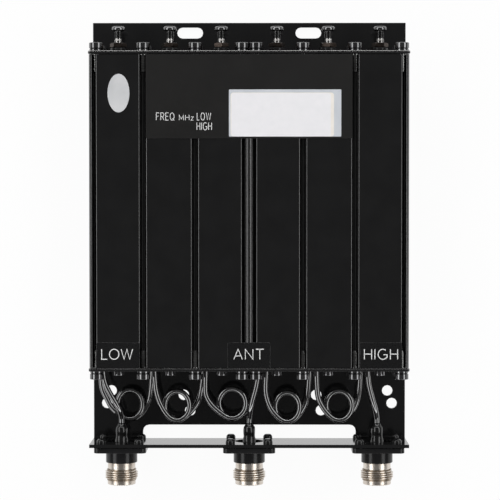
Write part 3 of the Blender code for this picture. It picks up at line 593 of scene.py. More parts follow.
TUNER_HOLES = [(x, BLOCK_Z) for x in TUNER_XS]
CABLE_HOLES = [(x, REAR_Z) for x in PORTS_REAR] + [(x, FRONT_Z) for x in PORTS_FRONT + [PORTS_REAR[3]]]
END_PLATE_WIDTH = 2 * BLOCK_X + BLOCK_WIDTH + 2 * PLATE_OVERHANG
for name, y, places, radius in (("top", BLOCK_HIGH.y + SEAL, TUNER_HOLES, TUNER_HOLE),
                                ("bottom", BOTTOM_FACE, CABLE_HOLES, CABLE_HOLE)):
    shape = bmesh.new()
    place = at(0, y, BLOCK_LOW.z + PLATE_DEPTH / 2, UPWARD)
    soft_sheet(shape, place, END_PLATE_WIDTH, PLATE_DEPTH, PLATE_THICK, PLATE_CORNER, PLATE_SOFTEN)
    plate = make_piece(f"{name}_cover", shape, [END_BLACK if name == "top" else SATIN_BLACK])
    cut(plate, drilled(places, radius, y - OVERSHOOT, y + OVERSHOOT))
    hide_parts(f"{name}_end_plate")
    print(plate.name, "from", box_mm(f"{name}_end_plate")[0])

# %% [markdown]
# ## Screw threads
#
# A thread is a ridge wound round a core. The ridge's section is four points, two at its foot
# inside the core and two at its crest, and each step round the screw lifts it by its share of
# the pitch. Wound like this, the thread has a true silhouette, which a relief can't give.

# %% Wind threads
ROOT_SINK = 0.97
CREST_START, CREST_END = 0.34, 0.66
WIDE_FOOT = 0.48
RUN_OUT = 1 / 3


def threaded(shape, place, core, crest, low, high, pitch, sides=20, slot=0, root_slot=None, foot=WIDE_FOOT):
    """A core with a ridge wound round it, whose foot is so many pitches wide each way."""
    turned(shape, place, ((low, core), (high, core)), sides, slot if root_slot is None else root_slot)
    steps = int((high - low - pitch) / pitch * sides)
    rows = []
    for step in range(steps + 1):
        angle = 2 * math.pi * step / sides
        level = low + pitch * step / sides
        top = core + (crest - core) * min(1, step / sides / RUN_OUT, (steps - step) / sides / RUN_OUT)
        ridge = ((ROOT_SINK * core, 0.5 - foot), (top, CREST_START), (top, CREST_END),
                 (ROOT_SINK * core, 0.5 + foot))
        row = []
        for radius, share in ridge:
            point = Vector((radius * math.cos(angle), radius * math.sin(angle), level + share * pitch))
            row.append(place @ point)
        rows.append(row)
    loft(shape, rows, slot)


print("threads can be wound")

# %% [markdown]
# ## Cap screws
#
# Socket head cap screws close both ends: a front row and a rear row at each end, and under the
# bottom plate six smaller ones that hold the resonators. Their heads have a rolled top edge, a
# hexagon socket and a fine knurl that stops short of a plain collar. The front row's threads
# show through the grooves in a paler metal than the heads, a painted glint.

# %% Turn the cap screws
HEAD, HEAD_TALL, SOCKET = 3.4, 4.02, 1.75
SMALL_HEAD, SMALL_TALL, SMALL_SOCKET = 2.75, 3.0, 1.25
HEAD_OUTLINE = ((0, 0.96), (0.2, 0.96), (0.28, 0.86), (0.36, 1))
HEAD_ROLL = 0.1
HEAD_SIDES = 72
KNURL = 0.004
SOCKET_MOUTH = 1.12
MOUTH_DEPTH = 0.12
SOCKET_FLOOR = 0.45
SHANK, SHANK_CREST, SHANK_PITCH, SHANK_REACH = 1.74, 2.02, 0.8, 10
SMALL_SHANK, SMALL_REACH = 1.7, 9.9


def cap_head(shape, place, radius, tall, socket):
    """A knurled head with a rolled edge, a plain collar below a groove, and a hexagon socket."""
    roll = HEAD_ROLL * radius
    outline = [(tall * up, radius * out) for up, out in HEAD_OUTLINE]
    waist = outline[2][0]
    outline += rolled_edge(tall, radius, roll)
    rows = []
    for height, reach in outline:
        groove = KNURL if waist < height <= tall - roll else 0
        rows.append(ring(place, [reach - groove * (side % 2) for side in range(HEAD_SIDES)], height))
    rows.append(ring(place, hexagon(SOCKET_MOUTH * socket, HEAD_SIDES), tall))
    for height in (tall - MOUTH_DEPTH, SOCKET_FLOOR * tall):
        rows.append(ring(place, hexagon(socket, HEAD_SIDES), height))
    loft(shape, rows)


for name, face, turn in (("top", TOP_FACE, UPWARD), ("bottom", BOTTOM_FACE, DOWNWARD)):
    shape = bmesh.new()
    for x in CHANNEL_XS:
        front = at(x, face, BLOCK_Z + CHANNEL_Z, turn)
        rear = at(x, face, BLOCK_Z - CHANNEL_Z, turn)
        cap_head(shape, front, HEAD, HEAD_TALL, SOCKET)
        cap_head(shape, rear, HEAD, HEAD_TALL, SOCKET)
        # slot 1 on the front threads wears the painted glint
        threaded(shape, front, SHANK, SHANK_CREST, -SHANK_REACH, 0, SHANK_PITCH, slot=1)
        turned(shape, rear, ((-SHANK_REACH, SHANK), (0, SHANK)), 16)
    screws = make_piece(f"{name}_cap_screws", shape, [SCREW_BLACK, THREAD_GLINT])
    print(screws.name, len(screws.data.polygons), "faces")
shape = bmesh.new()
for x in TUNER_XS:
    place = at(x, BOTTOM_FACE, BLOCK_Z, DOWNWARD)
    cap_head(shape, place, SMALL_HEAD, SMALL_TALL, SMALL_SOCKET)
    turned(shape, place, ((-SMALL_REACH, SMALL_SHANK), (0, SMALL_SHANK)), 16)
make_piece("resonator_screws", shape, [SCREW_BLACK])

# %% [markdown]
# ## Tuning screws
#
# A tuning screw sets each cavity's pitch, as a slide sets a trombone's. Where its lock nut has
# run, the black finish is gone and the thread shines. Each screw is one piece of three finishes,
# black head, worn stretch and oily thread, and it rides on its own body, because it turns and
# travels.

# %% Turn the tuning screws
TUNER_CORE, TUNER_CREST, TUNER_PITCH = 1.66, 1.99, 0.7
TUNER_TIP = -13.9
BARE_LOW, BARE_HIGH = 4.4, 6.7
STANDOUT = 10.35
HEAD_RADIUS = 3.3
HEAD_FOOT = ((0, 0.74), (0.5, 0.96), (0.62, 1), (1.1, 1))
RIM_TALL = 1.1
DOME = 2.4
DOME_ROUND, DOME_RISE = 1.1, 1.25
TUNER_SOCKET, TUNER_MOUTH = 1.25, 1.36
TUNER_MOUTH_DEPTH, TUNER_SOCKET_DEPTH = 0.15, 1.5


def dome_head(shape, place):
    """A button head: flat below, a small upright rim, a dome, and a hexagon socket."""
    edge = [(STANDOUT + up, HEAD_RADIUS * out) for up, out in HEAD_FOOT]
    for out, rise in arc((0, 0), 1, 10, 86, 10):
        edge.append((STANDOUT + RIM_TALL + DOME_RISE * rise, HEAD_RADIUS - DOME_ROUND + DOME_ROUND * out))
    top = STANDOUT + DOME
    edge.append((top, TUNER_MOUTH, "hex"))
    edge.append((top - TUNER_MOUTH_DEPTH, TUNER_SOCKET, "hex"))
    edge.append((top - TUNER_SOCKET_DEPTH, TUNER_SOCKET, "hex"))
    turned(shape, place, edge, 48)


def tuning_screw(shape, place):
    """The whole screw from its tip to its head, with the worn stretch in the middle."""
    for low, high, slot in ((TUNER_TIP, BARE_LOW, 2), (BARE_LOW, BARE_HIGH, 1), (BARE_HIGH, STANDOUT, 2)):
        threaded(shape, place, TUNER_CORE, TUNER_CREST, low, high, TUNER_PITCH, slot=slot)
    dome_head(shape, place)


print("a tuning screw is", round(STANDOUT + DOME - TUNER_TIP, 2), "mm long")

# %% [markdown]
# ## Lock nuts
#
# A thin nut locks each tuning screw. Both of its faces are chamfered at 30 degrees, and where
# that cone meets the six flats it leaves the arcs that every nut has.

# %% Shape a lock nut
NUT_FLATS = 3.5
NUT_TALL = 2.2
NUT_FACE = 0.96 * NUT_FLATS
NUT_CHAMFER = math.radians(30)
NUT_SIDES = 72
WELD = 0.0001


def hex_nut(shape, place):
    """A nut with both faces chamfered, which leaves the arcs on its flats."""
    rows = []
    for direction in (-1, 1):
        face = NUT_TALL / 2 + direction * NUT_TALL / 2
        bore = ring(place, [TUNER_HOLE] * NUT_SIDES, face)
        flat = ring(place, [NUT_FACE] * NUT_SIDES, face)
        chamfer = []
        for side, reach in enumerate(hexagon(NUT_FLATS, NUT_SIDES)):
            angle = 2 * math.pi * side / NUT_SIDES
            level = face - direction * (reach - NUT_FACE) * math.tan(NUT_CHAMFER)
            chamfer.append(place @ Vector((reach * math.cos(angle), reach * math.sin(angle), level)))
        rows += [bore, flat, chamfer] if direction == -1 else [chamfer, flat, bore]
    loft(shape, rows + [rows[0]], capped=False)
    bmesh.ops.remove_doubles(shape, verts=shape.verts, dist=WELD)


print("a nut is", 2 * NUT_FLATS, "mm across its flats")

# %% [markdown]
# ## Six tuners
#
# In each cavity's end a pressed bushing holds the tuning screw, and the nut sits on it. Each nut
# was tightened to where it stopped, so each has its own turn.

# %% Set the tuning screws, nuts and bushings
NUT_TURNS = (30, 22, 4, 34, 12, 26)
BUSHING_RADIUS, BUSHING_TALL, BUSHING_SINK, BUSHING_ROLL = 4.0, 2.1, 3, 0.3

for number, (x, spin) in enumerate(zip(TUNER_XS, NUT_TURNS), 1):
    shape = bmesh.new()
    tuning_screw(shape, at(x, TOP_FACE, BLOCK_Z, UPWARD))
    screw = make_piece(f"tuner_{number}", shape, [SCREW_BLACK, BARE_STEEL, THREAD_BLACK], f"screw_{number}")
    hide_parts(f"tuning_screw_{number}")
    shape = bmesh.new()
    seat = box_mm(f"lock_nut_{number}")[0].y
    hex_nut(shape, at(x, seat, BLOCK_Z, UPWARD @ Matrix.Rotation(math.radians(spin), 4, "Z")))
    nut = make_piece(f"thin_nut_{number}", shape, [NUT_BRONZE])
    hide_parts(f"lock_nut_{number}")

shape = bmesh.new()
for x in TUNER_XS:
    outline = [(-BUSHING_SINK, BUSHING_RADIUS), (BUSHING_TALL - BUSHING_ROLL, BUSHING_RADIUS)]
    outline += rolled_edge(BUSHING_TALL, BUSHING_RADIUS, BUSHING_ROLL)
    outline += [(BUSHING_TALL, TUNER_HOLE), (-BUSHING_SINK, TUNER_HOLE), (-BUSHING_SINK, BUSHING_RADIUS)]
    turned(shape, at(x, TOP_FACE, BLOCK_Z, UPWARD), outline, 48, capped=False)
    bmesh.ops.remove_doubles(shape, verts=shape.verts, dist=WELD)
make_piece("bushings", shape, [FLANGE_BLACK])
print(len(TUNER_XS), "tuners with nuts", NUT_TALL, "mm thick on their bushings")

# %% [markdown]
# ## Coaxial jacks
#
# Three panel jacks stand below the flange. Each has a square blackened flange and barrel, then
# a nickel neck, a coarse thread and a plain nose. It is turned in one piece here, with the
# thread wound on, and the bore is left open for the contact inside. The thread's root is painted
# darker than its crests, a painted shade in its valleys, or the ridges would be lost at this size.

# %% Turn the jacks
FLANGE_SIDE, FLANGE_THICK, FLANGE_CORNER, FLANGE_SOFTEN = 25.4, 2.6, 2.5, 0.25
FLANGE_SUNK = 1.0
BARREL_START, BARREL_END, BARREL_RADIUS, BARREL_ROLL = 2.0, 8.4, 7.7, 0.3
SPIGOT = ((-1.0, 3.5), (-1.0, 6.4), (0.5, 6.4))
NECK = ((8.2, 6.7), (10.0, 6.7), (10.1, 6.75), (11.3, 6.75), (11.35, 6.3), (11.75, 6.3))
THREAD_START, THREAD_END, THREAD_CORE, THREAD_CREST = 11.7, 17.1, 7.15, 7.925
THREAD_PITCH = 25.4 / 24
THREAD_FOOT = 0.3
NOSE_START, NOSE_END, NOSE_RADIUS, NOSE_ROLL = 16.4, 19.2, 6.85, 0.4
NOSE_BORE = [(19.2, 4.5), (18.9, 4.2), (10.0, 4.2), (10.0, 3.5), (-1.0, 3.5)]
JACK_SIDES = 64


def jack_body(shape, place):
    """A panel jack from its flange, at 0, to its nose."""
    soft_sheet(shape, place, FLANGE_SIDE, FLANGE_SIDE, FLANGE_THICK, FLANGE_CORNER, FLANGE_SOFTEN)
    barrel = [(BARREL_START, BARREL_RADIUS), (BARREL_END - BARREL_ROLL, BARREL_RADIUS)]
    barrel += rolled_edge(BARREL_END, BARREL_RADIUS, BARREL_ROLL) + [(BARREL_END, NECK[0][1])]
    turned(shape, place, barrel, JACK_SIDES, capped=False)
    turned(shape, place, SPIGOT, 48, capped=False)
    turned(shape, place, NECK, JACK_SIDES, 1, capped=False)
    # the root and core take slot 2, nickel with painted shade
    threaded(shape, place, THREAD_CORE, THREAD_CREST, THREAD_START, THREAD_END, THREAD_PITCH,
             JACK_SIDES, 1, 2, THREAD_FOOT)
    nose = [(NOSE_START, NOSE_RADIUS), (NOSE_END - NOSE_ROLL, NOSE_RADIUS)]
    nose += rolled_edge(NOSE_END, NOSE_RADIUS, NOSE_ROLL) + NOSE_BORE
    turned(shape, place, nose, JACK_SIDES, 1, capped=False)


for name in JACK_NAMES:
    low, high = box_mm(f"jack_{name}")
    centre_x, centre_z = (low.x + high.x) / 2, (low.z + high.z) / 2
    shape = bmesh.new()
    jack_body(shape, at(centre_x, high.y - FLANGE_SUNK, centre_z, DOWNWARD))
    jack = make_piece(f"panel_jack_{name}", shape, [JACK_BLACK, NICKEL, NICKEL_ROOT_SHADE])
    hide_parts(f"jack_{name}")
    print(jack.name, "at", round(centre_x, 2), "from", round(low.y, 2), "to", round(high.y, 2))

# %% [markdown]
# ## Heat shrink boots
#
# A sleeve is shrunk over each jack's rear end and its cable. Shrunk tube follows what is under
# it: a wide foot, a waist, the bulge of the crimp, and a neck on the cable. A curve through the
# few measured widths gives the profile, and a small wave round it gives the folds.

# %% Shrink the boots
BOOT_WIDTHS = ((0, 7.0), (0.17, 6.3), (0.34, 5.6), (0.62, 5.9), (0.8, 5.5), (0.92, 4.1), (1, 3.35))
BOOT_SIDES = 48
FOLD_DEPTH, FOLDS, FOLD_TWIST = 0.015, 3, 9
for name in JACK_NAMES:
    low, high = box_mm(f"boot_{name}")
    tall = high.y - low.y
    place = at((low.x + high.x) / 2, low.y, (low.z + high.z) / 2, UPWARD)
    rows = []
    for share, width in smooth(BOOT_WIDTHS, 6):
        reaches = []
        for side in range(BOOT_SIDES):
            wave = math.sin(FOLDS * 2 * math.pi * side / BOOT_SIDES + FOLD_TWIST * share)
            reaches.append(width / 2 * (1 + FOLD_DEPTH * wave))
        rows.append(ring(place, reaches, share * tall))
    shape = bmesh.new()
    loft(shape, rows)
    boot = make_piece(f"sleeve_{name}", shape, [SLEEVE])
    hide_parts(f"boot_{name}")
print("three boots", round(tall, 1), "mm tall")

# %% [markdown]
# ## Coaxial cables
#
# Five jumpers carry the signal from cavity to cavity. Each is a quarter wave long or more, so
# its spare length is wound once round under the end plate. Three leads go to the jacks. The
# routes are the frame's own, drawn here as smooth curves with a round bevel.

# %% Route the cables
CABLE = 2.7
BODY_RISE = 35.4
FLANGE_TOP = BOTTOM_FACE - BODY_RISE
PORT_DEPTH = 2
PORT_END = BLOCK_LOW.y + PORT_DEPTH
JACK_X, JACK_Z = 62.8, 14.2
BOOT_HELD = 9.0
BOOT_MOUTH = FLANGE_TOP + BOOT_HELD
LOOP_RADIUS = 6.35
LOOP_TALL = 1.15
LOOP_START, LOOP_END, LOOP_STEP = 240, 690, 15
LOOP_OPENING, OPENING_PART = 0.12, 1 / 15
LEAVE_ACROSS, LEAVE_UP = 0.3, 0.45
# For each jumper: its first cavity, the loop's centre as shares of the way across and up, the
# loop's width, where the cable swings in before it, in loop radii, and the depths of its turn.
JUMPERS = {
    "jumper_1_2": (0, (0.562, 0.499), 1.0, ((-2.17, 1.30), (-1.78, 0.45), (-1.42, -0.25)), (0.372, 0.220)),
    "jumper_2_3": (1, (0.461, 0.500), 0.98, ((-1.62, 1.26), (-1.41, 0.45), (-1.03, -0.33)), (0.636, 0.420)),
    "jumper_3_antenna": (2, (0.505, 0.532), 1.05, ((-2.07, 0.81), (-1.83, 0.24), (-1.42, -0.28)),
                         (0.636, 0.420)),
    "jumper_4_5": (3, (0.488, 0.482), 0.96, ((-1.70, 1.37), (-1.56, 0.55), (-1.18, -0.26)), (0.636, 0.420)),
    "jumper_5_6": (4, (0.515, 0.502), 1.01, ((-1.72, 1.25), (-1.58, 0.44), (-1.11, -0.37)), (0.636, 0.420)),
}
# For each lead: its port, its jack, and its bends as shares of the way between them in X, Y and Z.
LEADS = {
    "low_lead": (PORTS_FRONT[0], -JACK_X,
                 ((0.098, 0.226, 0), (0.376, 0.450, 0), (0.734, 0.682, 0.122), (0.954, 0.870, 0.512))),
    "antenna_lead": (PORTS_REAR[3], 0.0,
                     ((0.236, 0.315, 0), (0.640, 0.606, 0.122), (0.910, 0.861, 0.561))),
    "high_lead": (PORTS_FRONT[5], JACK_X,
                  ((0.113, 0.271, 0), (0.464, 0.562, 0.122), (0.856, 0.852, 0.561))),
}


def port_ends(x, z):
    """A cable's straight end, from inside a cavity out through its hole."""
    return [(x, PORT_END, z), (x, BOTTOM_FACE - CABLE / 2, z)]


def jumper_route(first, centre, width, swings, depths):
    """Down from one port, once round a loop in front, and up to the next cavity's rear port."""
    start = (PORTS_FRONT[first], FRONT_Z) if first else (PORTS_REAR[0], REAR_Z)
    end = (PORTS_REAR[first + 1], REAR_Z)
    x = start[0] + centre[0] * (end[0] - start[0])
    y = FLANGE_TOP + centre[1] * BODY_RISE
    near, far = (BLOCK_LOW.z + share * BLOCK_DEPTH for share in depths)
    points = port_ends(*start)
    for across, along in swings:
        points.append((x + across * LOOP_RADIUS, y + along * LOOP_RADIUS, near))
    for angle in range(LOOP_START, LOOP_END + 1, LOOP_STEP):
        share = (angle - LOOP_START) / (LOOP_END - LOOP_START)
        opened = max(0, 1 - (1 - share) / OPENING_PART)
        radius = LOOP_RADIUS * (1 + LOOP_OPENING * opened)
        turn = math.radians(angle)
        points.append((x + width * radius * math.cos(turn), y + LOOP_TALL * radius * math.sin(turn),
                       near + share * (far - near)))
    leave = end[0] - LEAVE_ACROSS * (end[0] - x - LOOP_RADIUS)
    points.append((leave, y + LEAVE_UP * LOOP_RADIUS, (far + end[1]) / 2))
    return points + port_ends(*end)[::-1]


def lead_route(port_x, jack_x, bends):
    """Down from a port through its bends and straight into a boot."""
    points = port_ends(port_x, FRONT_Z)
    start, boot = points[-1], (jack_x, BOOT_MOUTH + CABLE, JACK_Z)
    for shares in bends:
        points.append(tuple(a + share * (b - a) for a, b, share in zip(start, boot, shares)))
    return points + [boot, (jack_x, BOOT_MOUTH, JACK_Z)]


print("routes for", len(JUMPERS), "jumpers and", len(LEADS), "leads")

# %% [markdown]
# ## Drawing the cables
#
# A stiff cable has no sharp bends. Each route is set with points at even steps, and each point
# is moved a little towards its neighbours, a few times over. A curve with a round bevel follows.

# %% Draw the cables
def eased(route, step=1.0, passes=5):
    """Sets points at even steps along a route and eases its bends, as a stiff cable does."""
    points = [route[0]]
    spare = 0.0
    for start, end in zip(route, route[1:]):
        length = (end - start).length
        while length and spare + step <= length:
            spare += step
            points.append(start.lerp(end, spare / length))
        spare -= length
    points.append(route[-1])
    for _ in range(passes):
        middle = [(a + 2 * b + c) / 4 for a, b, c in zip(points, points[1:], points[2:])]
        points = [points[0]] + middle + [points[-1]]
    return points


def make_cable(name, points):
    """A round cable along an eased curve, in place of the frame's plainer one."""
    route = eased(smooth(points, 10))
    curve = bpy.data.curves.new(f"coax_{name}", "CURVE")
    curve.dimensions = "3D"
    curve.bevel_depth = CABLE / 2 * MM
    curve.bevel_resolution = 6
    curve.use_fill_caps = True
    spline = curve.splines.new("POLY")
    spline.points.add(len(route) - 1)
    for knot, point in zip(spline.points, route):
        knot.co = (*(point * MM), 1)
    curve.materials.append(JACKET)
    cable = bpy.data.objects.new(f"coax_{name}", curve)
    bpy.context.collection.objects.link(cable)
    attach(cable, CHASSIS)
    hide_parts(name)
    return sum((b - a).length for a, b in zip(route, route[1:]))


for name, course in JUMPERS.items():
    print(name, round(make_cable(name, jumper_route(*course))), "mm long")
for name, (port_x, jack_x, bends) in LEADS.items():
    print(name, round(make_cable(name, lead_route(port_x, jack_x, bends))), "mm long")

# %% [markdown]
# ## Flange screws
#
# Four small pan head screws hold each jack from the flange's inner face. Their heads are round
# and glossy, so a dome with a small recess is spun over each.

# %% Turn the flange screws
PAN_RADIUS, PAN_SIDE, PAN_TALL = 2.28, 0.8, 2.3
PAN_TOP = 0.9
RECESS_MOUTH, RECESS_FLOOR, RECESS_DEPTH = 0.45, 0.4, 1.0
SQUARE = 18.3 / 2


def pan_head(shape, place):
    """A pan head with a rolled edge."""
    outline = [(0, PAN_RADIUS), (PAN_SIDE, PAN_RADIUS)]
    for out, rise in arc((0, 0), 1, 5, 90, 8):
        outline.append((PAN_SIDE + (PAN_TALL - PAN_SIDE) * rise, PAN_TOP + (PAN_RADIUS - PAN_TOP) * out))
    outline += [(PAN_TALL, RECESS_MOUTH, "hex"), (PAN_TALL - RECESS_DEPTH, RECESS_FLOOR, "hex")]
    turned(shape, place, outline, 36)


shape = bmesh.new()
for x in (-JACK_X, 0, JACK_X):
    for side in (-1, 1):
        for depth in (-1, 1):
            pan_head(shape, at(x + side * SQUARE, FLANGE_TOP, JACK_Z + depth * SQUARE, UPWARD))
make_piece("flange_screws", shape, [FLANGE_BLACK])
print("twelve pan heads")

# %% [markdown]
# ## Name plate and labels
#
# A thin printed plate lies across the four middle columns, with a light panel for a written
# label. The label stays blank. Small black labels name the three ports, and an oval sticker of
# silver film lies on the first column. Places on the front are measured up from the flange.

# %% Lay the name plate and labels
FACE_Z = BLOCK_HIGH.z
ORIGIN_Y = FLANGE_TOP
NAME_PLATE_THICK, PANEL_THICK, PAPER_THICK, LABEL_THICK = 0.35, 0.06, 0.05, 0.15
PLATE_TOP = FACE_Z + NAME_PLATE_THICK
PANEL_TOP = PLATE_TOP + PANEL_THICK
LABEL_TOP = FACE_Z + LABEL_THICK
SHEET_ROUND = 0.3
STICKER_X, STICKER_Y = -63.0, 170.1
STICKER_HALF_WIDE, STICKER_HALF_TALL = 5.3, 9.3
STICKER_RIM = ((0, 0), (0.08, 0), (0.12, 0.06))


def flat_sheet(name, x, y, level, thick, corner, finish):
    """A thin sheet between two X and two Y values, lying on a level in Z."""
    shape = bmesh.new()
    centre = at(sum(x) / 2, ORIGIN_Y + sum(y) / 2, level)
    soft_sheet(shape, centre, x[1] - x[0], y[1] - y[0], thick, corner, SHEET_ROUND * thick)
    return make_piece(name, shape, [finish])


flat_sheet("name_plate", (-49.8, 49.9), (148.2, 188.8), FACE_Z, NAME_PLATE_THICK, 0.6, PRINTED_PLATE)
flat_sheet("written_panel", (-9.7, 44.5), (149.1, 171.8), PLATE_TOP, PANEL_THICK, 0.3, PANEL_GREY)
flat_sheet("blank_label_edge", (-8.9, 41.0), (149.1, 170.3), PANEL_TOP, PAPER_THICK, 1.4, CREAM_PAPER)
flat_sheet("blank_label", (-8.5, 39.5), (149.1, 170.0), PANEL_TOP + PAPER_THICK, PAPER_THICK, 1.2, PAPER)
for name, x in (("low", (-74.0, -53.0)), ("antenna", (-10.4, 10.2)), ("high", (53.7, 74.0))):
    flat_sheet(f"port_label_{name}", x, (36.7, 49.5), FACE_Z, LABEL_THICK, 0.6, LABEL_FILM)

shape = bmesh.new()
rows = []
for level, inset in STICKER_RIM:
    row = []
    for out, rise in arc((0, 0), 1, 0, 355, 71):
        x = STICKER_X + (STICKER_HALF_WIDE - inset) * out
        y = ORIGIN_Y + STICKER_Y + (STICKER_HALF_TALL - inset) * rise
        row.append(Vector((x, y, FACE_Z + level)))
    rows.append(row)
loft(shape, rows)
make_piece("oval_sticker", shape, [SILVER_FILM])
print("plate, panel, label, three port labels and an oval sticker")

# %% [markdown]
# ## Letters
#
# The port names and the plate's captions are generic words. Each letter is drawn from a few
# strokes, with its height as 1 and its advance first, and each stroke gets a width. So the words
# are crisp at any size, and no font is needed.

# %% Draw the letters
def bow(x, y, wide, tall, start, end, steps=24):
    """Points on an ellipse's arc in a letter's own units."""
    return [(x + wide * out, y + tall * rise) for out, rise in arc((0, 0), 1, start, end, steps)]


LETTERS = {
    "L": (0.55, [[(0, 1), (0, 0), (0.55, 0)]]),
    "O": (0.95, [bow(0.475, 0.5, 0.475, 0.5, 90, 450)]),
    "W": (1.15, [[(0, 1), (0.29, 0), (0.575, 1), (0.86, 0), (1.15, 1)]]),
    "A": (0.85, [[(0, 0), (0.425, 1), (0.85, 0)], [(0.14, 0.33), (0.71, 0.33)]]),
    "N": (0.75, [[(0, 0), (0, 1), (0.75, 0), (0.75, 1)]]),
    "T": (0.78, [[(0, 1), (0.78, 1)], [(0.39, 1), (0.39, 0)]]),
    "H": (0.72, [[(0, 0), (0, 1)], [(0.72, 0), (0.72, 1)], [(0, 0.52), (0.72, 0.52)]]),
    "I": (0.0, [[(0, 0), (0, 1)]]),
    "G": (0.88, [bow(0.46, 0.5, 0.46, 0.5, 50, 320) + [(0.88, 0.18), (0.88, 0.46), (0.52, 0.46)]]),
    "F": (0.5, [[(0, 0), (0, 1), (0.5, 1)], [(0, 0.54), (0.42, 0.54)]]),
    "R": (0.58, [[(0, 0), (0, 1)] + bow(0.3, 0.75, 0.26, 0.25, 90, -90, 10) + [(0, 0.5)],
                 [(0.28, 0.5), (0.58, 0)]]),
    "E": (0.5, [[(0.5, 1), (0, 1), (0, 0), (0.5, 0)], [(0, 0.52), (0.42, 0.52)]]),
    "Q": (0.7, [bow(0.35, 0.5, 0.35, 0.5, 90, 450), [(0.42, 0.25), (0.72, -0.04)]]),
    "M": (0.8, [[(0, 0), (0, 1), (0.4, 0.2), (0.8, 1), (0.8, 0)]]),
    "z": (0.45, [[(0, 0.62), (0.45, 0.62), (0, 0), (0.45, 0)]]),
}


INK_THICK = 0.03
LEAST_MITRE = 0.5
LEAST_GAP = 0.22


def stroke(shape, points, width, level):
    """A flat line of ink with mitred corners, closed where it ends at its start."""
    path = [Vector(point) for point in points]
    closed = (path[0] - path[-1]).length < WELD
    first = path[-2] if closed else 2 * path[0] - path[1]
    last = path[1] if closed else 2 * path[-1] - path[-2]
    rows = []
    for before, point, after in zip([first] + path, path, path[1:] + [last]):
        steps = ((point - before).normalized(), (after - point).normalized())
        normals = [Vector((-step.y, step.x)) for step in steps]
        middle = (normals[0] + normals[1]).normalized()
        reach = middle * (width / 2 / max(LEAST_MITRE, middle.dot(normals[0])))
        left, right_edge = point + reach, point - reach
        rows.append([Vector((*left, level)), Vector((*right_edge, level)),
                     Vector((*right_edge, level + INK_THICK)), Vector((*left, level + INK_THICK))])
    loft(shape, rows)


def write(name, word, x, y, width, level):
    """Sets a word between two X and two Y values, with narrower letters where it is short of room."""
    shape = bmesh.new()
    tall = y[1] - y[0] - width
    glyphs = [LETTERS[letter] for letter in word]
    room = x[1] - x[0] - width
    gaps = len(word) - 1
    inked = tall * sum(advance for advance, strokes in glyphs)
    squeeze = min(1, (room - LEAST_GAP * tall * gaps) / inked)
    gap = (room - squeeze * inked) / gaps
    start, base = x[0] + width / 2, ORIGIN_Y + y[0] + width / 2
    for advance, strokes in glyphs:
        for line in strokes:
            points = [(start + squeeze * tall * across, base + tall * up) for across, up in line]
            stroke(shape, points, width, level)
        start += squeeze * tall * advance + gap
    return make_piece(name, shape, [INK])


write("word_low", "LOW", (-71.6, -56.2), (41.2, 46.5), 0.4, LABEL_TOP)
write("word_ant", "ANT", (-7.6, 7.3), (41.2, 46.5), 0.4, LABEL_TOP)
write("word_high", "HIGH", (55.6, 72.1), (41.2, 46.5), 0.4, LABEL_TOP)
write("caption_freq", "FREQ", (-44.9, -36.0), (156.9, 160.7), 0.28, PLATE_TOP)
write("caption_mhz", "MHz", (-33.8, -26.7), (156.9, 159.7), 0.27, PLATE_TOP)
write("caption_low", "LOW", (-25.2, -18.3), (156.9, 160.7), 0.28, PLATE_TOP)
write("caption_high", "HIGH", (-25.3, -17.9), (152.2, 156.0), 0.28, PLATE_TOP)
print("letters written")

# %% [markdown]
# ## The lamps
#
# The photo was lit by long soft boxes on both sides. The round black parts show them as pairs of
# thin bright lines, which tell where the boxes hung: about 48 degrees off the camera's axis,
# their long side along the columns. Two weaker boxes above and below light the upper and lower
# edges. A radiance of 1 would look white in a mirror.

# %% Hang the lamps
LAMP_AWAY = 1.1


def soft_box(name, azimuth, elevation, long_side, short_side, radiance):
    """An area light round the object, aimed at it."""
    light = bpy.data.lights.new(name, "AREA")
    light.shape = "RECTANGLE"
    light.size = long_side
    light.size_y = short_side
    light.energy = radiance * math.pi * long_side * short_side
    lamp = bpy.data.objects.new(name, light)
    turn, lift = math.radians(azimuth), math.radians(elevation)
    lamp.location = LAMP_AWAY * Vector((math.cos(lift) * math.cos(turn), math.cos(lift) * math.sin(turn),
                                        math.sin(lift)))
    lamp.rotation_euler = (-lamp.location).to_track_quat("-Z", "Y").to_euler()
    bpy.context.collection.objects.link(lamp)


soft_box("left_box", 180, 40, 2.6, 0.44, 2.9)
soft_box("right_box", 0, 44, 2.6, 0.44, 2.6)
soft_box("upper_box", 90, 36, 1.4, 0.24, 4.4)
soft_box("lower_box", 270, 40, 1.2, 0.16, 3.0)
print(len(bpy.data.lights), "soft boxes")

# %% [markdown]
# ## The room
#
# The flat black faces look up at a dim ceiling, so they stay black. At the horizon and below it
# reflections and clear glass see a white backdrop, and the rest of the light comes from the
# lamps. The camera sees white all round.

# %% Light the room
CEILING_LOW, CEILING_HIGH = 0.15, 0.13
CEILING_START, CEILING_END = 0.05, 0.6
BACKDROP_TOP, BACKDROP_FULL = 0.06, 0.02


def seen_white(tree):
    """1 for what the camera, a reflection or clear glass sees directly."""
    path = tree.nodes.new("ShaderNodeLightPath")
    direct = add_math(tree, "MAXIMUM", path.outputs["Is Camera Ray"], path.outputs["Is Glossy Ray"])
    return add_math(tree, "MAXIMUM", direct, path.outputs["Is Transmission Ray"])


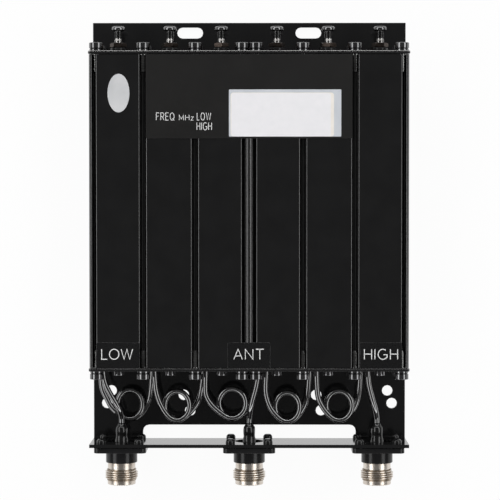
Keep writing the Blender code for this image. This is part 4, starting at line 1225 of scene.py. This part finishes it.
world = bpy.data.worlds.new("studio")
bpy.context.scene.world = world
world.use_nodes = True
tree = world.node_tree
sky = tree.nodes.new("ShaderNodeTexCoord")
parts = tree.nodes.new("ShaderNodeSeparateXYZ")
tree.links.new(sky.outputs["Generated"], parts.inputs["Vector"])
height = parts.outputs["Z"]
ceiling = add_range(tree, height, CEILING_LOW, CEILING_HIGH, CEILING_START, CEILING_END)
seen = seen_white(tree)
backdrop = add_math(tree, "MULTIPLY", seen, add_range(tree, height, 0, 1, BACKDROP_TOP, BACKDROP_FULL))
path = tree.nodes.new("ShaderNodeLightPath")
brightness = tree.nodes.new("ShaderNodeMix")
brightness.inputs["B"].default_value = 1
white = add_math(tree, "MAXIMUM", backdrop, path.outputs["Is Camera Ray"])
tree.links.new(white, brightness.inputs["Factor"])
tree.links.new(ceiling, brightness.inputs["A"])
background = tree.nodes["Background"]
background.inputs["Color"].default_value = (1, 1, 1, 1)
tree.links.new(brightness.outputs["Result"], background.inputs["Strength"])
print("a ceiling at", CEILING_HIGH, "over a white backdrop")

# %% [markdown]
# ## The floor
#
# The duplexer lies on its back plate. The floor is a matt grey that keeps its shadow, mixed with
# a share of plain white for what the camera, reflections and clear glass see.

# %% Lay the floor
FLOOR_SHARE = 0.95
FLOOR_GREY = 0.8
FLOOR_REACH = 4
FLOOR_LEVEL = -0.0002
floor_finish = bpy.data.materials.new("white_floor")
floor_finish.use_nodes = True
tree = floor_finish.node_tree
tree.nodes.clear()
matt = tree.nodes.new("ShaderNodeBsdfDiffuse")
matt.inputs["Color"].default_value = (FLOOR_GREY, FLOOR_GREY, FLOOR_GREY, 1)
glow = tree.nodes.new("ShaderNodeEmission")
mixed = tree.nodes.new("ShaderNodeMixShader")
output = tree.nodes.new("ShaderNodeOutputMaterial")
tree.links.new(add_math(tree, "MULTIPLY", seen_white(tree), FLOOR_SHARE), mixed.inputs["Fac"])
tree.links.new(matt.outputs["BSDF"], mixed.inputs[1])
tree.links.new(glow.outputs["Emission"], mixed.inputs[2])
tree.links.new(mixed.outputs["Shader"], output.inputs["Surface"])

shape = bmesh.new()
for x, y in ((-1, -1), (1, -1), (1, 1), (-1, 1)):
    shape.verts.new((FLOOR_REACH * x, FLOOR_REACH * y, FLOOR_LEVEL))
shape.faces.new(shape.verts)
mesh = bpy.data.meshes.new("floor")
shape.to_mesh(mesh)
shape.free()
mesh.materials.append(floor_finish)
floor = bpy.data.objects.new("floor", mesh)
bpy.context.collection.objects.link(floor)
bpy.context.scene.view_settings.view_transform = "Standard"
print("floor laid", 2 * FLOOR_REACH, "m across")
